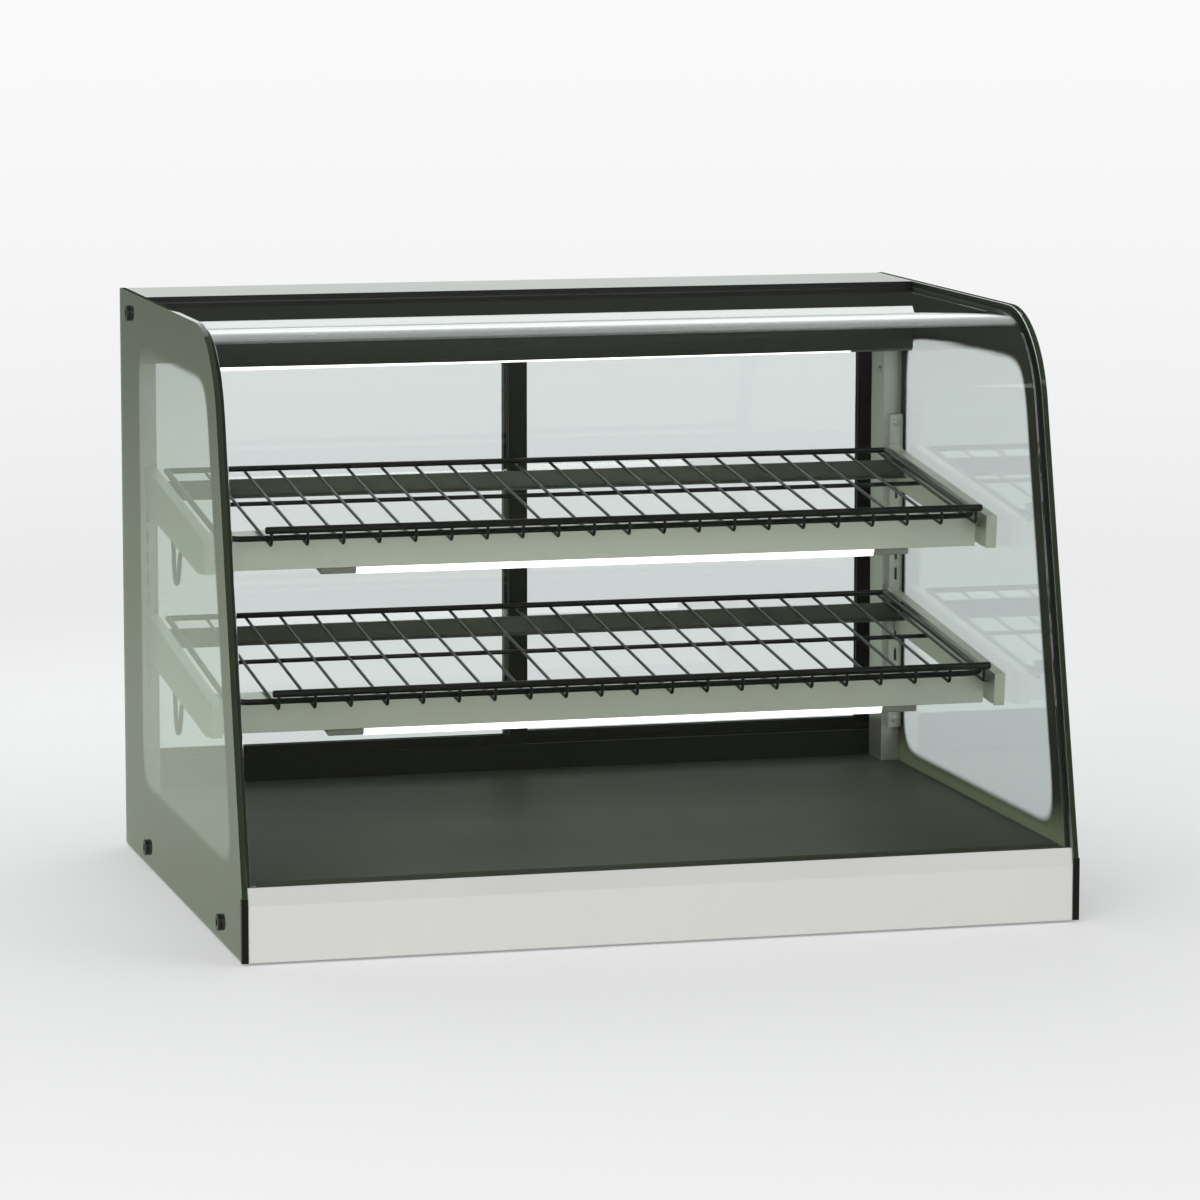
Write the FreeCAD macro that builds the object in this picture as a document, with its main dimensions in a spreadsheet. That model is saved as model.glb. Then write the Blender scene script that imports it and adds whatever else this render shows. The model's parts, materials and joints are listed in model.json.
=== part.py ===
"""Countertop bakery case: a lit glass case with two sloping wire shelves and rear sliding doors.

Millimetres, +Z up, front towards -Y. The origin is on the counter, under the middle of the case.
"""
import FreeCAD
import Part
import Sketcher
import math
import os
import re

# Driving dimensions, in millimetres, degrees or counts
SIZES = {
    # Case
    "case_width": 914,
    "case_depth": 711,
    "case_height": 648,
    "bay_gap": 0.5,
    # End glasses, their bolts and corner trims
    "end_glass_thick": 6,
    "lean_start": 70,
    "lean_angle": 13.5,
    "crown_radius": 120,
    "corner_radius": 4,
    "bolt_head_diameter": 18,
    "bolt_head_height": 4,
    "bolt_diameter": 6,
    "bolt_clearance": 1,
    "bolt_socket_diameter": 9,
    "bolt_socket_depth": 2.5,
    "bolt_reach": 20,
    "bolt_low_height": 23,
    "bolt_front_inset": 124,
    "bolt_rear_inset": 143,
    "bolt_top_inset": 64,
    "bolt_top_drop": 24,
    "trim_thick": 1.2,
    "trim_side_thick": 0.8,
    "trim_lap": 7,
    # Base pan, feet, apron and deck
    "sheet_thick": 1.2,
    "foot_height": 2.5,
    "foot_diameter": 30,
    "foot_inset": 55,
    "apron_setback": 1,
    "apron_bend": 62,
    "apron_top": 81,
    "step_depth": 20,
    "rear_recess": 5,
    "deck_height": 77,
    "deck_thick": 1.5,
    # Front glass and its pivots
    "pane_thick": 6,
    "pane_setback": 7,
    "pane_rear_gap": 1.5,
    "seal_width": 4,
    "seal_gap": 0.6,
    "pivot_drop": 5,
    "pivot_depth": 1.5,
    "rail_foot": 3,
    "rail_back_thick": 2,
    "rail_lap": 5,
    "pin_diameter": 3,
    "pin_clearance": 0.05,
    "pin_side_gap": 1.5,
    "block_width": 10,
    "block_depth": 9,
    "block_rise": 3,
    # Header, light housing and top lamp
    "header_thick": 2,
    "header_drop": 0.5,
    "header_lap": 3,
    "header_lip": 9,
    "fascia_height": 72,
    "fascia_inset": 2,
    "housing_depth": 41,
    "housing_height": 58,
    "rest_gap": 0.3,
    "top_lens_thick": 6,
    "top_lens_drop": 4,
    "lens_gap": 0.2,
    "tube_diameter": 26,
    "tube_margin": 151,
    "tube_drop": 34,
    "holder_thick": 10,
    "holder_width": 24,
    "holder_foot": 10,
    # Rear posts, door tracks and jambs
    "post_width": 22,
    "post_depth": 48,
    "post_wall": 2.5,
    "fin_thick": 4,
    "groove_width": 17,
    "sill_floor": 13,
    "sill_rise": 30,
    "head_fin": 25,
    "head_roof": 12,
    "jamb_width": 7,
    # Slotted standards
    "standard_width": 16,
    "standard_depth": 9,
    "standard_wall": 1.5,
    "standard_side_gap": 0.5,
    "standard_bottom": 118,
    "standard_height": 371,
    "slot_width": 3,
    "slot_height": 14,
    "slot_pitch": 24,
    "slot_first": 39,
    "slot_count": 13,
    # Rear doors
    "door_width": 454,
    "door_thick": 13,
    "door_side_gap": 1,
    "door_top_gap": 4,
    "stile_width": 22,
    "top_rail_height": 20,
    "bottom_rail_height": 24,
    "door_glass_thick": 4,
    "door_glass_lap": 7,
    "door_glass_gap": 0.3,
    "glide_height": 3.8,
    "glide_length": 45,
    "glide_inset": 40,
    "glide_side_gap": 0.5,
    "glide_gap": 0.2,
    "pull_width": 15,
    "pull_height": 64,
    "pull_depth": 8,
    "pull_wall": 1.5,
    "pull_middle": 330,
    # Light switch, ballast and cord gland
    "switch_inset": 120,
    "switch_middle": 40,
    "switch_width": 22,
    "switch_height": 32,
    "switch_flange": 2,
    "switch_wall": 2.5,
    "switch_body_depth": 22,
    "switch_body_gap": 0.3,
    "rocker_gap": 0.6,
    "rocker_axle_diameter": 3,
    "rocker_axle_clearance": 0.05,
    "rocker_axle_depth": 4,
    "rocker_swing": 8,
    "rocker_rise": 1,
    "rocker_thick": 7,
    "ballast_length": 240,
    "ballast_width": 60,
    "ballast_height": 38,
    "ballast_foot": 14,
    "ballast_foot_thick": 2,
    "ballast_round": 4,
    "ballast_place": 60,
    "gland_inset": 120,
    "gland_middle": 40,
    "gland_bore": 9,
    "gland_body_diameter": 18,
    "gland_flange_diameter": 26,
    "gland_flange_thick": 4,
    "gland_body_depth": 12,
    "gland_clearance": 0.3,
    # Shelf brackets
    "shelf_tilt": 6.5,
    "upper_reach": 359,
    "lower_reach": 393,
    "upper_slot_count": 12,
    "lower_slot_count": 5,
    "bracket_thick": 2,
    "bracket_rise": 8,
    "bracket_front_drop": 28,
    "bracket_bar_drop": 36,
    "bracket_rear_drop": 42,
    "bracket_overhang": 3,
    "bracket_flange": 12,
    "bracket_gap": 0.5,
    "hook_finger": 2.5,
    "hook_finger_gap": 0.5,
    "hook_drop": 4,
    "hook_height": 9,
    "hook_seat": 0.2,
    # Shelf grids and stop rails
    "wire_diameter": 3.5,
    "wire_margin": 88,
    "wire_count": 21,
    "wire_shift": 22,
    "frame_rod_diameter": 6.5,
    "frame_left_gap": 20,
    "frame_right_gap": 17,
    "frame_setback": 16,
    "frame_bend": 18,
    "rod_side_count": 12,
    "turned_side_count": 8,
    "middle_rod_diameter": 5,
    "middle_rod_setback": 215,
    "grid_rear_gap": 4,
    "stop_diameter": 8,
    "stop_height": 17.5,
    "stop_overhang": 7,
    # Shelf light bars, lamps and stretchers
    "bar_setback": 36,
    "bar_height": 33,
    "bar_depth": 46,
    "bar_sheet": 1.5,
    "bar_rear_height": 22,
    "bar_gap": 0.4,
    "bar_end_gap": 9.5,
    "boss_diameter": 10,
    "lamp_shift": 21,
    "lamp_diameter": 16,
    "lamp_margin": 275,
    "lamp_holder_length": 40,
    "shelf_lens_width": 32,
    "shelf_lens_drop": 9,
    "shelf_lens_wall": 1.5,
    "shelf_lens_lap": 10,
    "stretcher_thick": 4,
    "stretcher_height": 20,
    "stretcher_setback": 30,
    "stretcher_foot": 8,
    # Lamp leads and their sockets
    "lead_diameter": 5,
    "lead_drop": 32,
    "lead_side_gap": 6,
    "lead_inset": 8,
    "loop_place": 155,
    "loop_width": 24,
    "loop_length": 55,
    "lead_turn": 46,
    "lead_side_count": 6,
    "bend_share": 0.45,
    "sweep_slack_share": 0.01,
    "socket_width": 16,
    "socket_depth": 24,
    "socket_height": 22,
    "socket_setback": 16,
    # Sides of larger round pieces, how far a cut runs past its piece, how near two equal places are
    "round_side_count": 24,
    "overrun": 5,
    "same_place": 0.01,
}

X = FreeCAD.Vector(1, 0, 0)
Y = FreeCAD.Vector(0, 1, 0)
Z = FreeCAD.Vector(0, 0, 1)
PLANE_OF = {"side": "YZ_Plane", "top": "XY_Plane"}
TURN_OF = {"x": FreeCAD.Rotation(Y, 90), "y": FreeCAD.Rotation(X, -90), "z": FreeCAD.Rotation()}

doc = FreeCAD.newDocument("bakery_case")
sheet = doc.addObject("Spreadsheet::Sheet", "Sizes")
for row, (alias, amount) in enumerate(SIZES.items(), start=1):
    sheet.set(f"A{row}", alias)
    sheet.set(f"B{row}", str(amount))
    sheet.setAlias(f"B{row}", alias)
doc.recompute()

parts = []

# Places that several pieces share, in the sheet's words
FRONT = "(-case_depth / 2)"
BACK = "(case_depth / 2)"
GLASS_FRONT = f"({FRONT} + trim_thick)"
BAY = "(case_width / 2 - end_glass_thick - bay_gap)"
PAN_BACK = f"({BACK} - rear_recess)"
PAN_STEP = f"({FRONT} + apron_setback + sheet_thick + step_depth)"
TRACK_FRONT = f"({PAN_BACK} - 3 * fin_thick - 2 * groove_width)"
POST_FRONT = f"({TRACK_FRONT} - post_depth)"
STANDARD_FRONT = f"({POST_FRONT} - standard_depth)"
STANDARD_X = f"({BAY} - standard_side_gap - standard_width / 2)"
HOUSING_FRONT = f"({POST_FRONT} - housing_depth)"
HEADER_FRONT = f"({HOUSING_FRONT} + header_lap)"
HEADER_TOP = "(case_height - header_drop)"
HEAD_BOTTOM = f"({HEADER_TOP} - fascia_height)"
HOUSING_TOP = "(case_height - pane_setback - pane_thick - rest_gap)"
HOUSING_BOTTOM = f"({HOUSING_TOP} - housing_height)"
DOOR_EDGE = f"({BAY} - jamb_width - door_side_gap)"
DOOR_BOTTOM = "(deck_height + sill_floor + glide_gap + glide_height)"
DOOR_TOP = f"({HEAD_BOTTOM} + head_fin - door_top_gap)"
BLADE_INNER = f"({STANDARD_X} - bracket_thick / 2)"
POST_INNER = f"({BAY} - post_width)"


def size(words):
    """The number that an expression in the sheet's words comes to."""
    found = sheet.evalExpression(words)
    return float(getattr(found, "Value", found))


def linked(words):
    """The same expression as other objects of the document have to write it."""
    in_sheet = lambda found: f"Sizes.{found[0]}" if found[0] in SIZES else found[0]
    return re.sub(r"[a-z][a-z_]*", in_sheet, words)


def bind(thing, **rules):
    """Ties properties to expressions. An underscore pair in a name stands for a dot."""
    for name, words in rules.items():
        thing.setExpression(name.replace("__", "."), linked(words))


def place(thing, x="0", y="0", z="0"):
    """Puts a piece at a place given in the sheet's words."""
    bind(thing, Placement__Base__x=x, Placement__Base__y=y, Placement__Base__z=z)
    return thing


def block(name, x, y, z):
    """A box between two places on each axis."""
    box = doc.addObject("Part::Box", name)
    sides = zip(("Length", "Width", "Height"), (x, y, z))
    for side, (low, high) in sides:
        box.setExpression(side, linked(f"({high}) - ({low})"))
    return place(box, x[0], y[0], z[0])


def round_bar(name, axis, diameter, length, x="0", y="0", z="0"):
    """A cylinder that starts at a place and runs along one axis."""
    bar = doc.addObject("Part::Cylinder", name)
    bar.Placement = FreeCAD.Placement(FreeCAD.Vector(), TURN_OF[axis])
    bind(bar, Radius=f"({diameter}) / 2", Height=length)
    return place(bar, x, y, z)


def prism(name, axis, sides, diameter, length, x="0", y="0", z="0"):
    """A bar with flat sides, of a given diameter over its corners, along one axis."""
    bar = doc.addObject("Part::Prism", name)
    bar.Placement = FreeCAD.Placement(FreeCAD.Vector(), TURN_OF[axis])
    bind(bar, Polygon=sides, Circumradius=f"({diameter}) / 2", Height=length)
    return place(bar, x, y, z)


def joined(name, pieces):
    """Pieces that are one solid."""
    fused = doc.addObject("Part::MultiFuse", name)
    fused.Shapes = pieces
    return fused


def group(name, pieces):
    """Like pieces that are separate solids of one node."""
    several = doc.addObject("Part::Compound", name)
    several.Links = pieces
    return several


def cut(name, base, tools):
    """A piece with other pieces taken out of it."""
    for count, tool in enumerate(tools):
        rest = doc.addObject("Part::Cut", f"{name}_cut{count}")
        rest.Base = base
        rest.Tool = tool
        base = rest
    return base


def keep(thing, label):
    """Names a finished piece and puts it on the list of parts."""
    thing.Label = label
    parts.append(thing)
    return thing


def outline(body, side, points, name):
    """A closed sketch of straight lines through points given in the sheet's words."""
    sketch = body.newObject("Sketcher::SketchObject", name)
    role = PLANE_OF[side]
    plane = next(feature for feature in body.Origin.OriginFeatures if feature.Role == role)
    sketch.AttachmentSupport = [(plane, "")]
    sketch.MapMode = "FlatFace"
    corners = [FreeCAD.Vector(size(across), size(up), 0) for across, up in points]
    for here, there in zip(corners, corners[1:] + corners[:1]):
        sketch.addGeometry(Part.LineSegment(here, there), False)
    for line in range(len(points)):
        sketch.addConstraint(Sketcher.Constraint("Coincident", line, 2, (line + 1) % len(points), 1))
    for line, (words, corner) in enumerate(zip(points, corners)):
        for kind, rule, value in (("DistanceX", words[0], corner.x), ("DistanceY", words[1], corner.y)):
            number = sketch.addConstraint(Sketcher.Constraint(kind, line, 1, value))
            sketch.setExpression(f"Constraints[{number}]", linked(rule))
    return sketch


def profile(name, side, points, length):
    """A body pushed out of an outline: along +X from "side", +Z from "top"."""
    body = doc.addObject("PartDesign::Body", name)
    pad = body.newObject("PartDesign::Pad", f"{name}_pad")
    pad.Profile = outline(body, side, points, f"{name}_outline")
    bind(pad, Length=length)
    body.Tip = pad
    doc.recompute()
    return body


def round_corners(body, radius, corners):
    """Fillets on the pushed-out edges that pass through corners of a "side" outline."""
    base = body.Tip
    names = []
    for across, up in corners:
        spot = (size(across), size(up))
        for number, edge in enumerate(base.Shape.Edges, start=1):
            ends = [vertex.Point for vertex in edge.Vertexes]
            offsets = [end.distanceToPoint(FreeCAD.Vector(end.x, *spot)) for end in ends]
            if len(ends) == 2 and max(offsets) < size("same_place"):
                names.append(f"Edge{number}")
    fillet = body.newObject("PartDesign::Fillet", f"{base.Name}_round")
    fillet.Base = (base, names)
    bind(fillet, Radius=radius)
    body.Tip = fillet
    doc.recompute()


def drill(body, side, centres, diameter):
    """Round holes right through a body, at places on its outline's plane."""
    sketch = body.newObject("Sketcher::SketchObject", f"{body.Name}_holes")
    role = PLANE_OF[side]
    plane = next(feature for feature in body.Origin.OriginFeatures if feature.Role == role)
    sketch.AttachmentSupport = [(plane, "")]
    sketch.MapMode = "FlatFace"
    for number, (across, up) in enumerate(centres):
        middle = FreeCAD.Vector(size(across), size(up), 0)
        sketch.addGeometry(Part.Circle(middle, Z, size(diameter) / 2), False)
        rules = (("DistanceX", middle.x, across), ("DistanceY", middle.y, up))
        for kind, value, words in rules:
            index = sketch.addConstraint(Sketcher.Constraint(kind, number, 3, value))
            sketch.setExpression(f"Constraints[{index}]", linked(words))
        index = sketch.addConstraint(Sketcher.Constraint("Radius", number, size(diameter) / 2))
        sketch.setExpression(f"Constraints[{index}]", linked(f"({diameter}) / 2"))
    before = body.Shape.Volume
    pocket = body.newObject("PartDesign::Pocket", f"{body.Name}_drilled")
    pocket.Profile = sketch
    pocket.Type = "ThroughAll"
    pocket.Reversed = True
    body.Tip = pocket
    doc.recompute()
    if body.Shape.Volume >= before:
        raise RuntimeError(f"{body.Name}: the holes cut nothing")


def mirrored_x(low, high):
    """The same stretch of X on the other side of the case."""
    return f"-({high})", f"-({low})"


def both_sides(low, high):
    """A stretch of X on the left and on the right."""
    return {"left": mirrored_x(low, high), "right": (low, high)}


# End glasses: leaning front edge, round crown, level top, three bolt holes
BOLT_PLACES = [
    (f"{FRONT} + bolt_front_inset", "bolt_low_height"),
    (f"{BACK} - bolt_rear_inset", "bolt_low_height"),
    (f"{BACK} - bolt_top_inset", "case_height - bolt_top_drop"),
]
CROWN = (f"{GLASS_FRONT} + (case_height - lean_start) * tan(lean_angle)", "case_height")
end_glass_points = [
    (GLASS_FRONT, "foot_height"),
    (GLASS_FRONT, "lean_start"),
    CROWN,
    (BACK, "case_height"),
    (BACK, "foot_height"),
]
GLASS_X = {"left": "-case_width / 2", "right": "case_width / 2 - end_glass_thick"}
for hand, inner in GLASS_X.items():
    glass = profile(f"end_glass_{hand}", "side", end_glass_points, "end_glass_thick")
    round_corners(glass, "crown_radius", [CROWN])
    round_corners(glass, "corner_radius", end_glass_points[3:])
    drill(glass, "side", BOLT_PLACES, "bolt_diameter + 2 * bolt_clearance")
    keep(place(glass, x=inner), f"end_glass_{hand}")


def glass_bolt(name, hand, y, z):
    """A low round-headed bolt with a hexagon socket, through the glass into the frame behind it."""
    outwards = {"left": "-1", "right": "1"}[hand]
    face = f"{outwards} * case_width / 2"
    tip = f"{outwards} * (case_width / 2 - bolt_reach)"
    head_end = f"{outwards} * (case_width / 2 + bolt_head_height)"
    low = {"left": head_end, "right": face}[hand]
    head = prism(f"{name}_head", "x", "round_side_count", "bolt_head_diameter", "bolt_head_height", low, y, z)
    shank_low = {"left": face, "right": tip}[hand]
    shank = prism(f"{name}_shank", "x", "rod_side_count", "bolt_diameter", "bolt_reach", shank_low, y, z)
    bottom = f"{outwards} * (case_width / 2 + bolt_head_height - bolt_socket_depth)"
    socket_low = {"left": f"{head_end} - overrun", "right": bottom}[hand]
    depth = "bolt_socket_depth + overrun"
    socket = prism(f"{name}_socket", "x", "6", "bolt_socket_diameter", depth, socket_low, y, z)
    return cut(name, joined(f"{name}_solid", [head, shank]), [socket])


bolts = []
for hand in ("left", "right"):
    for number, (y, z) in enumerate(BOLT_PLACES):
        bolts.append(glass_bolt(f"bolt_{hand}_{number}", hand, y, z))
keep(group("end_glass_bolt_group", bolts), "end_glass_bolts")

# Black corner trims: an angle over the lower front edge of each end glass
trims = []
for hand, outer in {"left": "-1", "right": "1"}.items():
    inner_face = f"{outer} * (case_width / 2 - end_glass_thick)"
    outer_face = f"{outer} * (case_width / 2 + trim_side_thick)"
    glass_face = f"{outer} * case_width / 2"
    trim_points = [
        (inner_face, FRONT),
        (outer_face, FRONT),
        (outer_face, f"{FRONT} + trim_lap"),
        (glass_face, f"{FRONT} + trim_lap"),
        (glass_face, GLASS_FRONT),
        (inner_face, GLASS_FRONT),
    ]
    trim = profile(f"trim_{hand}", "top", trim_points, "lean_start - foot_height")
    trims.append(place(trim, z="foot_height"))
keep(group("corner_trim_group", trims), "corner_trims")

# Base pan: a folded tray with a low step in front for the glass pivots
STEP_TOP = "(apron_bend - sheet_thick)"
pan_points = [
    (f"{FRONT} + apron_setback + sheet_thick", "foot_height"),
    (f"{FRONT} + apron_setback + sheet_thick", STEP_TOP),
    (PAN_STEP, STEP_TOP),
    (PAN_STEP, "deck_height - deck_thick"),
    (PAN_BACK, "deck_height - deck_thick"),
    (PAN_BACK, "foot_height"),
]
pan_solid = place(profile("pan_solid", "side", pan_points, f"2 * {BAY}"), x=f"-{BAY}")
pan_inside_points = [
    (f"{FRONT} + apron_setback + 2 * sheet_thick", "foot_height + sheet_thick"),
    (f"{FRONT} + apron_setback + 2 * sheet_thick", f"{STEP_TOP} - sheet_thick"),
    (f"{PAN_STEP} + sheet_thick", f"{STEP_TOP} - sheet_thick"),
    (f"{PAN_STEP} + sheet_thick", "deck_height + overrun"),
    (f"{PAN_BACK} - sheet_thick", "deck_height + overrun"),
    (f"{PAN_BACK} - sheet_thick", "foot_height + sheet_thick"),
]
pan_inside = profile("pan_inside", "side", pan_inside_points, f"2 * ({BAY} - sheet_thick)")
place(pan_inside, x=f"sheet_thick - {BAY}")
pan_holes = []
for number, (y, z) in enumerate(BOLT_PLACES[:2]):
    hole = "bolt_diameter + 2 * bolt_clearance"
    start = "-case_width / 2"
    bore = prism(f"pan_bolt_hole_{number}", "x", "rod_side_count", hole, "case_width", start, y, z)
    pan_holes.append(bore)
SWITCH_X = f"({BAY} - switch_inset)"
GLAND_X = f"(gland_inset - {BAY})"
switch_hole = block(
    "pan_switch_hole",
    (f"{SWITCH_X} - switch_width / 2 + switch_wall", f"{SWITCH_X} + switch_width / 2 - switch_wall"),
    (f"{PAN_BACK} - sheet_thick - overrun", f"{PAN_BACK} + overrun"),
    ("switch_middle - switch_height / 2 + switch_wall", "switch_middle + switch_height / 2 - switch_wall"),
)
gland_hole = round_bar(
    "pan_gland_hole", "y", "gland_body_diameter + 2 * gland_clearance", "sheet_thick + 2 * overrun",
    GLAND_X, f"{PAN_BACK} - sheet_thick - overrun", "gland_middle",
)
keep(cut("pan", pan_solid, [pan_inside, *pan_holes, switch_hole, gland_hole]), "base_pan")

# Rubber feet
feet = []
for x_side in ("-1", "1"):
    for y_side in ("-1", "1"):
        foot_x = f"{x_side} * ({BAY} - foot_inset)"
        foot_y = f"{y_side} * (case_depth / 2 - foot_inset)"
        name = f"foot_{len(feet)}"
        feet.append(prism(name, "z", "round_side_count", "foot_diameter", "foot_height", foot_x, foot_y))
keep(group("foot_group", feet), "base_feet")

# Front apron: one bent sheet, upright below and leaning with the glass above the bend
APRON_LEAN = "(apron_top - apron_bend) * tan(lean_angle)"
APRON_FACE = f"({FRONT} + apron_setback)"
APRON_TURN = "sheet_thick * tan(lean_angle / 2)"
apron_points = [
    (APRON_FACE, "foot_height"),
    (APRON_FACE, "apron_bend"),
    (f"{APRON_FACE} + {APRON_LEAN}", "apron_top"),
    (f"{APRON_FACE} + {APRON_LEAN} + sheet_thick / cos(lean_angle)", "apron_top"),
    (f"{APRON_FACE} + sheet_thick", f"apron_bend - {APRON_TURN}"),
    (f"{APRON_FACE} + sheet_thick", "foot_height"),
]
apron = profile("apron", "side", apron_points, f"2 * {BAY}")
keep(place(apron, x=f"-{BAY}"), "front_apron")

# Deck: the black floor of the display space
deck = block("deck", (f"-{BAY}", BAY), (PAN_STEP, PAN_BACK), ("deck_height - deck_thick", "deck_height"))
keep(deck, "deck_panel")

# Front glass: one bent pane, set back from the end glasses' edge, that tips forward on a bottom rail
PANE_Y = f"({GLASS_FRONT} + pane_setback / cos(lean_angle))"
PIVOT_REST = "(apron_top - pivot_drop * cos(lean_angle))"
PIVOT_Y = f"({PANE_Y} + ({PIVOT_REST} - lean_start) * tan(lean_angle) + pivot_depth * cos(lean_angle))"
PIVOT_Z = f"({PIVOT_REST} - pivot_depth * sin(lean_angle))"
PANE_HALF = "(case_width / 2 - end_glass_thick - seal_gap - seal_width)"


def leaning(behind, above):
    """A place given as behind and above the pivot, square to the leaning glass."""
    across = f"{PIVOT_Y} + ({behind}) * cos(lean_angle) + ({above}) * sin(lean_angle)"
    up = f"{PIVOT_Z} - ({behind}) * sin(lean_angle) + ({above}) * cos(lean_angle)"
    return across, up


def pane_points():
    """The bent section: leaning stretch, sharp crown that is rounded afterwards, level top."""
    corners = []
    for depth in ("0", "pane_thick"):
        top = f"(case_height - pane_setback - {depth})"
        crown = f"{PANE_Y} + {depth} / cos(lean_angle) + ({top} - lean_start) * tan(lean_angle)"
        corners.append([leaning(f"{depth} - pivot_depth", "pivot_drop"), (crown, top)])
    rear = f"{HEADER_FRONT} - pane_rear_gap"
    outer, inner = corners
    outer.append((rear, outer[1][1]))
    inner.append((rear, inner[1][1]))
    return outer + inner[::-1]


def bent_pane(name, length):
    pane = profile(name, "side", pane_points(), length)
    corners = pane_points()
    round_corners(pane, "crown_radius - pane_setback", [corners[1]])
    round_corners(pane, "crown_radius - pane_setback - pane_thick", [corners[4]])
    return pane


pane = bent_pane("pane", f"2 * {PANE_HALF}")
keep(place(pane, x=f"-{PANE_HALF}"), "front_glass")
seals = [
    place(bent_pane("seal_left", "seal_width"), x=f"-{PANE_HALF} - seal_width"),
    place(bent_pane("seal_right", "seal_width"), x=PANE_HALF),
]
keep(group("seal_group", seals), "front_glass_seals")

RAIL_HALF = f"({BAY} - block_width - pin_side_gap)"
rail_points = [
    leaning("-pivot_depth", "pivot_drop"),
    leaning("-pivot_depth", "-rail_foot"),
    leaning("pane_thick - pivot_depth + rail_back_thick", "-rail_foot"),
    leaning("pane_thick - pivot_depth + rail_back_thick", "pivot_drop + rail_lap"),
    leaning("pane_thick - pivot_depth", "pivot_drop + rail_lap"),
    leaning("pane_thick - pivot_depth", "pivot_drop"),
]
rail = profile("rail", "side", rail_points, f"2 * {RAIL_HALF}")
keep(place(rail, x=f"-{RAIL_HALF}"), "front_glass_rail")

pins = []
pivot_blocks = []
BLOCK_FRONT = f"({PIVOT_Y} - block_depth / 2)"
for hand, outer in {"left": "-1", "right": "1"}.items():
    pin_length = "(pin_side_gap + block_width)"
    pin_low = {"left": f"-{RAIL_HALF} - {pin_length}", "right": RAIL_HALF}[hand]
    pins.append(round_bar(f"pin_{hand}", "x", "pin_diameter", pin_length, pin_low, PIVOT_Y, PIVOT_Z))
    block_x = both_sides(f"{BAY} - block_width", BAY)[hand]
    solid = block(
        f"pivot_block_solid_{hand}", block_x,
        (BLOCK_FRONT, f"{BLOCK_FRONT} + block_depth"), (STEP_TOP, f"{PIVOT_Z} + block_rise"),
    )
    bore = round_bar(
        f"pivot_bore_{hand}", "x", "pin_diameter + 2 * pin_clearance", "block_width + 2 * overrun",
        f"{block_x[0]} - overrun", PIVOT_Y, PIVOT_Z,
    )
    pivot_blocks.append(cut(f"pivot_block_{hand}", solid, [bore]))
keep(group("pin_group", pins), "glass_pivot_pins")
keep(group("pivot_block_group", pivot_blocks), "glass_pivot_blocks")

# Rear posts: hollow box sections from the deck to the header
POST_TOP = f"({HEADER_TOP} - header_thick)"
for hand, (low, high) in both_sides(POST_INNER, BAY).items():
    solid = block(f"post_solid_{hand}", (low, high), (POST_FRONT, TRACK_FRONT), ("deck_height", POST_TOP))
    hollow = block(
        f"post_hollow_{hand}", (f"{low} + post_wall", f"{high} - post_wall"),
        (f"{POST_FRONT} + post_wall", f"{TRACK_FRONT} - post_wall"),
        ("deck_height - overrun", f"{POST_TOP} + overrun"),
    )
    y, z = BOLT_PLACES[2]
    outer_wall = {"left": f"{low} - overrun", "right": f"{high} - post_wall - overrun"}[hand]
    bolt_hole = round_bar(
        f"post_bolt_hole_{hand}", "x", "bolt_diameter + 2 * bolt_clearance",
        "post_wall + 2 * overrun", outer_wall, y, z,
    )
    keep(cut(f"post_{hand}", solid, [hollow, bolt_hole]), f"rear_post_{hand}")

# Header: folded cover over the rear top, with a fascia down its back
header_points = [
    (HEADER_FRONT, f"{HEADER_TOP} - header_lip"),
    (HEADER_FRONT, HEADER_TOP),
    (f"{BACK} - fascia_inset", HEADER_TOP),
    (f"{BACK} - fascia_inset", HEAD_BOTTOM),
    (f"{BACK} - fascia_inset - header_thick", HEAD_BOTTOM),
    (f"{BACK} - fascia_inset - header_thick", f"{HEADER_TOP} - header_thick"),
    (f"{HEADER_FRONT} + header_thick", f"{HEADER_TOP} - header_thick"),
    (f"{HEADER_FRONT} + header_thick", f"{HEADER_TOP} - header_lip"),
]
header = profile("header", "side", header_points, f"2 * {BAY}")
keep(place(header, x=f"-{BAY}"), "header_cover")

# Top light: black channel in front of the posts, tube on two holders, white lens below
housing_points = [
    (HOUSING_FRONT, HOUSING_BOTTOM),
    (HOUSING_FRONT, HOUSING_TOP),
    (POST_FRONT, HOUSING_TOP),
    (POST_FRONT, HOUSING_BOTTOM),
    (f"{POST_FRONT} - sheet_thick", HOUSING_BOTTOM),
    (f"{POST_FRONT} - sheet_thick", f"{HOUSING_TOP} - sheet_thick"),
    (f"{HOUSING_FRONT} + sheet_thick", f"{HOUSING_TOP} - sheet_thick"),
    (f"{HOUSING_FRONT} + sheet_thick", HOUSING_BOTTOM),
]
housing = profile("housing", "side", housing_points, f"2 * {BAY}")
keep(place(housing, x=f"-{BAY}"), "light_housing")

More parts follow.
